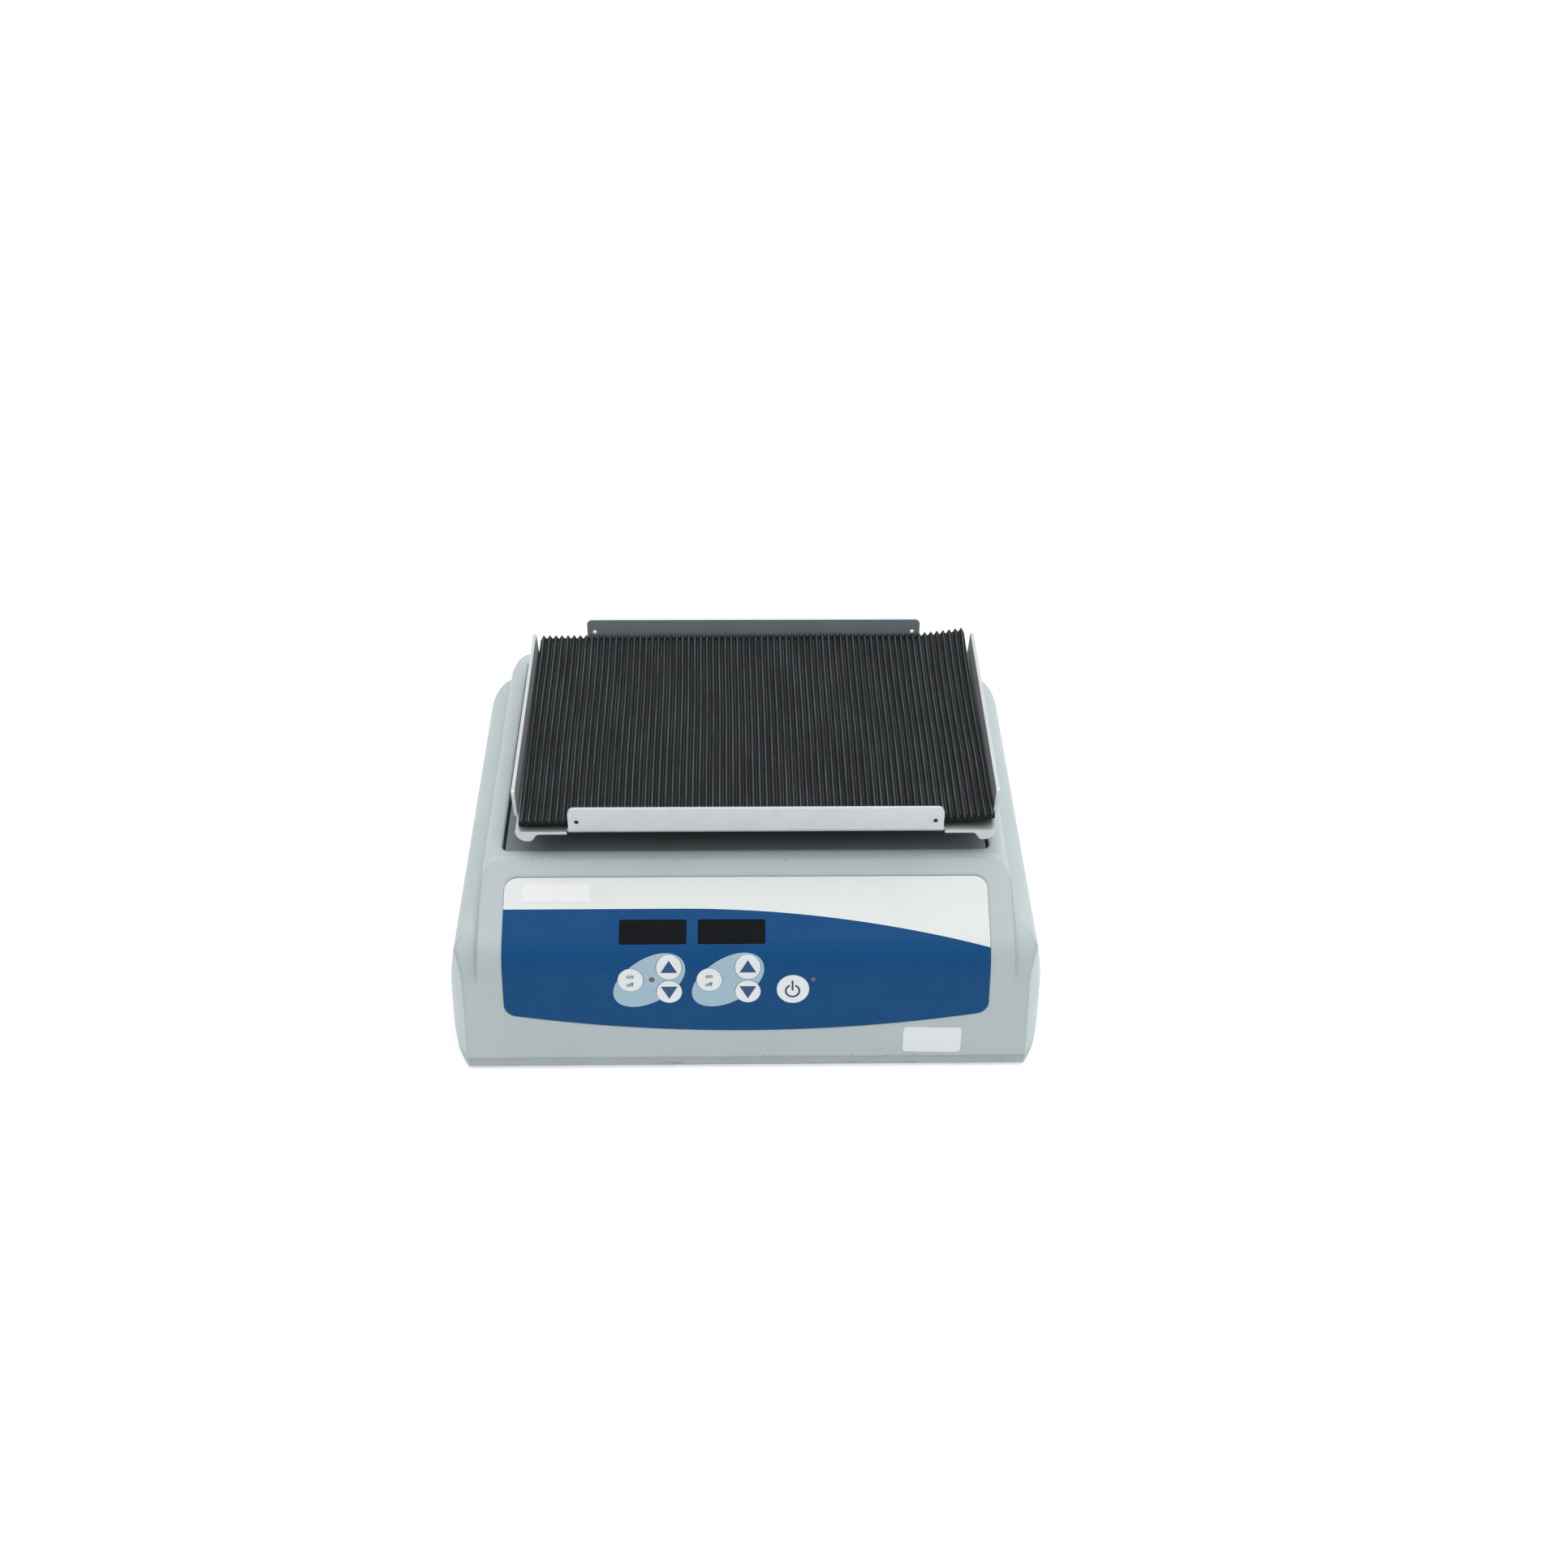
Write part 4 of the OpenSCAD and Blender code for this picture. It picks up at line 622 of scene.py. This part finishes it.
# %% Inks
def printed_film(name, colour, pale, gloss=0.45):
    finish = Finish(name, colour, 0.4, Specular_IOR_Level=gloss)
    orange_peel = finish.noise(0.5, detail=2)
    wiped = finish.noise(26, detail=4, seed=3.0)
    finish.tint(finish.ramp(wiped, 0.45, 0.8) * 0.12, pale)
    specks = finish.ramp(finish.specks(9, 1.0, seed=6.0), 0.06, 0.04)
    finish.tint(specks * 0.5, pale)
    finish.roughness = 0.34 + wiped * 0.12
    finish.emboss(orange_peel, 0.004)
    return finish.done()


white_ink = printed_film("ink_white", shade(240, 245, 244), shade(216, 222, 223))
blue_ink = printed_film("ink_blue", shade(22, 82, 136), shade(40, 98, 150), 0.1)
pale_ink = printed_film("ink_pale", shade(178, 206, 222), shade(192, 212, 224), 0.2)
INKS = [white_ink, blue_ink, pale_ink]

# %% Outlines on the film
FILM_W, FILM_TOP, FILM_LOW, BOW_R, FILM_R = 276.0, 10.8, 106.8, 833.0, 7.5
bow_middle = BOW_R - FILM_LOW
corner_x = FILM_W / 2 - FILM_R
corner_y = bow_middle - math.sqrt((BOW_R - FILM_R) ** 2 - corner_x ** 2)
turn = math.degrees(math.atan2(bow_middle - corner_y, corner_x))
film_right = (arc_points(0, bow_middle, BOW_R, 270, 360 - turn, 24)
              + arc_points(corner_x, corner_y, FILM_R, -turn, 0, 8)
              + arc_points(corner_x, -FILM_TOP - FILM_R, FILM_R, 0, 90, 8))
film_outline = film_right + [(-x, y) for x, y in reversed(film_right)][:-1]

FIELD_START, FIELD_TOP, FIELD_R = -39.0, 30.0, 647.0
field_edge = [(x, -FIELD_TOP - (x - FIELD_START) ** 2 / (2 * FIELD_R))
              for x in np.linspace(150, FIELD_START, 40)]
blue_field = field_edge + [(-150, -FIELD_TOP), (-150, -FILM_LOW - 5), (150, -FILM_LOW - 5)]

WINDOW_XS, WINDOW_DOWN, GROUP_GAP = (-53.1, -8.5), 44.0, 44.6
KEYS = {
    "key_speed_on": (-65.8, 72.7, 14.4), "key_speed_up": (-44.0, 64.8, 14.4),
    "key_speed_down": (-44.0, 80.6, 14.4), "key_time_on": (-21.2, 72.7, 14.4),
    "key_time_up": (0.6, 64.8, 14.4), "key_time_down": (0.6, 80.6, 14.4),
    "key_power": (26.2, 79.2, 18.4)}
LIGHTS = ((-53.8, 72.5), (37.7, 72.9))


def oval(x, y, long, short, tilt):
    cos, sin = math.cos(math.radians(tilt)), math.sin(math.radians(tilt))
    return [(x + long * cos * u - short * sin * v, y + long * sin * u + short * cos * v)
            for u, v in disc(0, 0, 2, 64)]


ovals = [oval(-55.27 + group * GROUP_GAP, -73.5, 22.98, 13.6, 34.1) for group in (0, 1)]

# %% Cut the film
film_holes = [plate(x, -WINDOW_DOWN, 38.2, 14.8, 1.4) for x in WINDOW_XS]
film_holes += [disc(x, -down, size + 0.6, 48) for x, down, size in KEYS.values()]
film_holes += [disc(x, -down, 3.3, 24) for x, down in LIGHTS]
folds = [[(-140, -down), (140, -down)] for down in np.linspace(BEND_START, BEND_END, 14)]
film_shapes = [film_outline, blue_field] + ovals + film_holes
film_points, film_triangles, film_parts = cut_sheet(film_shapes, folds)
FIRST_HOLE = 2 + len(ovals)
kept, film_inks = [], []
for corners, inside in zip(film_triangles, film_parts):
    if 0 in inside and max(inside) < FIRST_HOLE:
        kept.append(list(corners))
        film_inks.append(2 if max(inside) > 1 else 1 if 1 in inside else 0)
printed_panel = lay_on_front("printed_panel", film_points, kept, film_inks, -0.1, -0.6, INKS)
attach(printed_panel, "housing")
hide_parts("panel_film")

# %% [markdown]
# ## Keys
# Each key is a round embossed spot of the film that gives by less than half a millimetre. The
# CAD discs have the right shape. Their print is a thin layer of dark ink on top, which rides
# with its key: arrows for more and less, on and off, and the usual power sign.

# %% Key finishes
key_finish = printed_film("key_white", shade(250, 254, 255), shade(232, 240, 243), 0.3)
arrow_ink = hard_plastic("ink_arrow", shade(28, 72, 128), shade(44, 88, 142), 0.4, 0.5,
                         0.003).done()
letter_ink = hard_plastic("ink_letter", shade(66, 80, 104), shade(82, 96, 118), 0.4, 0.5,
                          0.003).done()
sign_ink = hard_plastic("ink_sign", shade(28, 48, 82), shade(44, 64, 96), 0.4, 0.5, 0.003).done()
KEY_LIFT, INK_T = 0.2, 0.05


def print_on_key(name, key, shapes, ink):
    """Prints flat shapes, drawn around the key's middle, on top of a key."""
    x, down, _ = KEYS[key]
    points, triangles, inside = cut_sheet(
        [[(x + u, v - down) for u, v in shape] for shape in shapes], folds)
    wanted = [list(corners) for corners, shapes_there in zip(triangles, inside) if shapes_there]
    mark = lay_on_front(name, points, wanted, [0] * len(wanted), KEY_LIFT + INK_T, KEY_LIFT - INK_T,
                        [ink])
    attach(mark, key)


# %% Arrows
for group in ("speed", "time"):
    print_on_key(f"{group}_up_arrow", f"key_{group}_up", [[(-4.8, -3.1), (4.8, -3.1), (0, 4.2)]],
                 arrow_ink)
    print_on_key(f"{group}_down_arrow", f"key_{group}_down",
                 [[(0, -4.6), (4.75, 3.6), (-4.75, 3.6)]], arrow_ink)

# %% Power sign
RING_R, STROKE, GAP = 3.85, 1.1, 24
ring_mid = (-0.25, -1.1)
ring = (arc_points(*ring_mid, RING_R + STROKE / 2, 90 + GAP, 450 - GAP, 40)
        + arc_points(*ring_mid, RING_R - STROKE / 2, 450 - GAP, 90 + GAP, 40))
stem = plate(ring_mid[0], ring_mid[1] + 3.55, STROKE, 6.7, 0.3)
print_on_key("power_sign", "key_power", [ring, stem], sign_ink)


# %% [markdown]
# Letters come from Blender's own font. A text object is turned into a mesh, scaled to the
# wanted width, and its flat triangles are laid on the key like the other prints.


# %% Letters
def word_triangles(word, width, x, y):
    """A short word as flat points and triangles, with its middle at x and its foot at y."""
    curve = bpy.data.curves.new(word, "FONT")
    curve.body = word
    curve.resolution_u = 4
    curve.offset = 0.02
    holder = bpy.data.objects.new(word, curve)
    bpy.context.scene.collection.objects.link(holder)
    flat = bpy.data.meshes.new_from_object(holder)
    bpy.data.objects.remove(holder)
    bpy.data.curves.remove(curve)
    form = bmesh.new()
    form.from_mesh(flat)
    bpy.data.meshes.remove(flat)
    bmesh.ops.remove_doubles(form, verts=form.verts, dist=1e-5)
    bmesh.ops.triangulate(form, faces=form.faces)
    form.verts.index_update()
    xs = [vert.co.x for vert in form.verts]
    scale = width / (max(xs) - min(xs))
    left = x - width / 2 - min(xs) * scale
    points = [(left + vert.co.x * scale, y + vert.co.y * scale) for vert in form.verts]
    triangles = []
    for face in form.faces:
        a, b, c = (points[vert.index] for vert in face.verts)
        area = (b[0] - a[0]) * (c[1] - a[1]) - (c[0] - a[0]) * (b[1] - a[1])
        corners = [vert.index for vert in face.verts]
        triangles.append(corners if area > 0 else corners[::-1])
    form.free()
    return points, triangles


for group in ("speed", "time"):
    key_x, key_down, _ = KEYS[f"key_{group}_on"]
    for word, width, foot in (("on", 3.9, 1.3), ("off", 4.1, -4.1)):
        points, triangles = word_triangles(word, width, key_x - 0.2, foot - key_down)
        letters = lay_on_front(f"{group}_{word}_letters", points, triangles, [0] * len(triangles),
                               KEY_LIFT + INK_T, KEY_LIFT - INK_T, [letter_ink])
        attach(letters, f"key_{group}_on")

# %% [markdown]
# ## The ribbed mat
# A soft black mat with pointed ribs from front to back keeps flasks from sliding. It could be an
# array of one rib, but a real mat lies slightly uneven: it is a little turned in its tray, the
# ribs wander, and its two right corners curl up. So the whole cross section is drawn once and set
# down again and again from front to back, each time shifted by slow waves. Each point keeps its
# height in the cross section as an attribute, which tells the finish where crests and grooves are.

# %% Mat sizes
MAT_W, MAT_D, MAT_BASE, RIB_H, RIB_PITCH, CREST, GROOVE = 273.0, 191.0, 3.4, 2.6, 3.9, 0.5, 0.5
rib_count = int(MAT_W // RIB_PITCH)
rib_margin = (MAT_W - rib_count * RIB_PITCH) / 2
section = [(-MAT_W / 2, 0.0), (-MAT_W / 2, MAT_BASE)]
for rib in range(rib_count):
    start = -MAT_W / 2 + rib_margin + rib * RIB_PITCH
    section += [(start + GROOVE / 2, MAT_BASE), (start + (RIB_PITCH - CREST) / 2, MAT_BASE + RIB_H),
                (start + (RIB_PITCH + CREST) / 2, MAT_BASE + RIB_H),
                (start + RIB_PITCH - GROOVE / 2, MAT_BASE)]
section += [(MAT_W / 2, MAT_BASE), (MAT_W / 2, 0.0)]
print("the mat has", rib_count, "ribs")

# %% Set the section down along the mat
MAT_TURN, MAT_CORNER = math.tan(math.radians(0.38)), 3.0
flat_x, flat_z = np.array(section).T
along = np.linspace(-MAT_D / 2, MAT_D / 2, 65)
wander = np.random.default_rng(4)
drift = sum(wander.uniform(0.03, 0.10) * np.sin(along[:, None] / wander.uniform(9, 40)
            + flat_x[None, :] / wander.uniform(12, 60) + wander.uniform(0, 6)) for _ in range(5))
swell = sum(wander.uniform(0.02, 0.05) * np.sin(along[:, None] / wander.uniform(8, 30)
            + flat_x[None, :] / wander.uniform(5, 30) + wander.uniform(0, 6)) for _ in range(5))
edge_fade = np.clip((MAT_W / 2 - np.abs(flat_x)) / 4, 0, 1)[None, :]


def curl(end, lift, reach):
    """How far a right-hand corner lifts off the tray."""
    away = np.hypot((MAT_W / 2 - flat_x)[None, :], (MAT_D / 2 - end * along)[:, None])
    return lift * np.clip(1 - away / reach, 0, 1) ** 2


into_corner = np.clip((np.abs(flat_x) - MAT_W / 2 + MAT_CORNER) / MAT_CORNER, 0, 1)
shorter = MAT_CORNER * (1 - np.sqrt(1 - into_corner ** 2)) / (MAT_D / 2)
mat_x = TRAY_X + flat_x + drift * edge_fade - along[:, None] * MAT_TURN
mat_y = TRAY_Y + along[:, None] * (1 - shorter) + flat_x * MAT_TURN
mat_z = TRAY_FLOOR + flat_z + swell * (flat_z > MAT_BASE) + curl(
    end=1, lift=4.4, reach=42) + curl(end=-1, lift=2.8, reach=26)
mat_points = np.stack([mat_x, mat_y, mat_z], axis=2).reshape(-1, 3) * MM
wide = len(section)
mat_faces = [(row * wide + col, row * wide + (col + 1) % wide, (row + 1) * wide + (col + 1) % wide,
              (row + 1) * wide + col) for row in range(len(along) - 1) for col in range(wide)]
mat_faces += [tuple(range(wide - 1, -1, -1)),
              tuple(range((len(along) - 1) * wide, len(along) * wide))]
mat_mesh = bpy.data.meshes.new("ribbed_mat")
mat_mesh.from_pydata(mat_points.tolist(), [], mat_faces)
mat_form = bmesh.new()
mat_form.from_mesh(mat_mesh)
bmesh.ops.recalc_face_normals(mat_form, faces=mat_form.faces)
mat_form.to_mesh(mat_mesh)
mat_form.free()
rib_height = mat_mesh.attributes.new("rib_height", "FLOAT", "POINT")
rib_height.data.foreach_set("value", np.tile(flat_z, len(along)))
for cut_end in list(mat_mesh.polygons)[-2:]:
    cut_end.material_index = 1
mat = bpy.data.objects.new("ribbed_mat", mat_mesh)
bpy.context.scene.collection.objects.link(mat)
print("mat faces", len(mat_mesh.polygons))

# %% [markdown]
# The mat's crests are painted pale, partly as a highlight and partly as wear, and the bottom of its
# grooves is painted pale, partly as light and partly as dust, while the flanks between them stay
# black. The cut ends of the mat are painted darker still, as shade. Pale specks are grit and
# splashes.

# %% Mat finish
mat_rubber = rubber("mat_rubber", shade(27, 31, 33), shade(37, 41, 43), 0.8, 0.5)
section_height = mat_rubber.add("Attribute", {"attribute_name": "rib_height"}, {}, output=2)
crest_highlight_and_wear = mat_rubber.ramp(section_height, MAT_BASE + RIB_H - 0.55, MAT_BASE + RIB_H - 0.1)
worn = mat_rubber.ramp(mat_rubber.noise(12, detail=4, stretch=(0.5, 3.0, 1), seed=14.0), 0.25, 0.7)
# A painted highlight along the crests, made patchy like wear.
mat_rubber.tint(crest_highlight_and_wear * (0.3 + worn * 0.6), shade(90, 96, 98))
groove_light_and_dust = mat_rubber.ramp(abs(section_height - MAT_BASE), 0.22, 0.05)
dusty = mat_rubber.ramp(mat_rubber.noise(18, detail=3, stretch=(0.6, 2.4, 1), seed=15.0), 0.25, 0.7)
# Painted light along the bottom of the grooves, made patchy like dust.
mat_rubber.tint(groove_light_and_dust * (0.25 + dusty * 0.6), shade(86, 92, 94))
grit = mat_rubber.ramp(mat_rubber.specks(6.5, 1.0, seed=1.0), 0.05, 0.03)
mat_rubber.tint(grit * 0.8, shade(188, 190, 190))
mat_finish = mat_rubber.done()
# The two cut ends of the mat are painted near-black, as the shade that lies on them.
cut_end_shade_finish = rubber("mat_cut_end_shade", shade(22, 23, 25), shade(34, 35, 37), 0.8, 0.5).done()
for finish in (mat_finish, cut_end_shade_finish):
    mat_mesh.materials.append(finish)
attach(mat, "platform")
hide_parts("rubber_mat")

# %% [markdown]
# ## Every CAD part gets its finish
# The parts whose CAD shape is right keep it. Their material slots are filled from one list, and
# a part that the list forgot would be printed here.

# %% Finishes of the CAD parts
CAD_FINISHES = [
    (housing_finish, "top_cover"),
    (plinth_finish, "base_pan"),
    (carriage_shade_finish, "carriage"),
    (foot_finish, "rubber_feet"),
    (zinc_finish, "foot_screws cover_screws board_screws pillar_screws block_screws motor_screws "
                  "supply_standoffs inlet_screws crank_screws tray_screws tray_posts"),
    (white_ink, "panel_film"),
    (window_finish, "speed_window time_window"),
    (display_finish, "speed_display time_display"),
    (board_finish, "display_board control_board"),
    (supply_finish, "power_supply"),
    (black_finish, "key_switches power_inlet fuse_drawer"),
    (light_finish, "light_pipes"),
    (paper_finish, "panel_label front_label rear_label"),
    (plate_finish, "chassis_plate chassis_pillars drive_pulley motor_pulley"),
    (cast_finish, "main_bearing_block idler_blocks"),
    (bearing_finish, "main_bearings idler_bearings carriage_bearings"),
    (motor_finish, "motor"),
    (belt_finish, "drive_belt"),
    (brass_finish, "inlet_pins"),
    (lead_finish, "inlet_leads"),
    (cable_finish, "board_cable motor_cable"),
    (shaft_finish, "drive_shaft motor_shaft idler_crank_left idler_crank_right idler_crank_rear"),
    (weight_finish, "counterweight"),
    (tray_finish, "tray"),
    (mat_finish, "rubber_mat"),
    (key_finish, " ".join(KEYS))]
unfinished = set(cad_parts)
for finish, names in CAD_FINISHES:
    for name in names.split():
        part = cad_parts[name]
        part.data.materials.clear()
        part.data.materials.append(finish)
        unfinished.discard(name)
print("CAD parts without a finish:", sorted(unfinished))
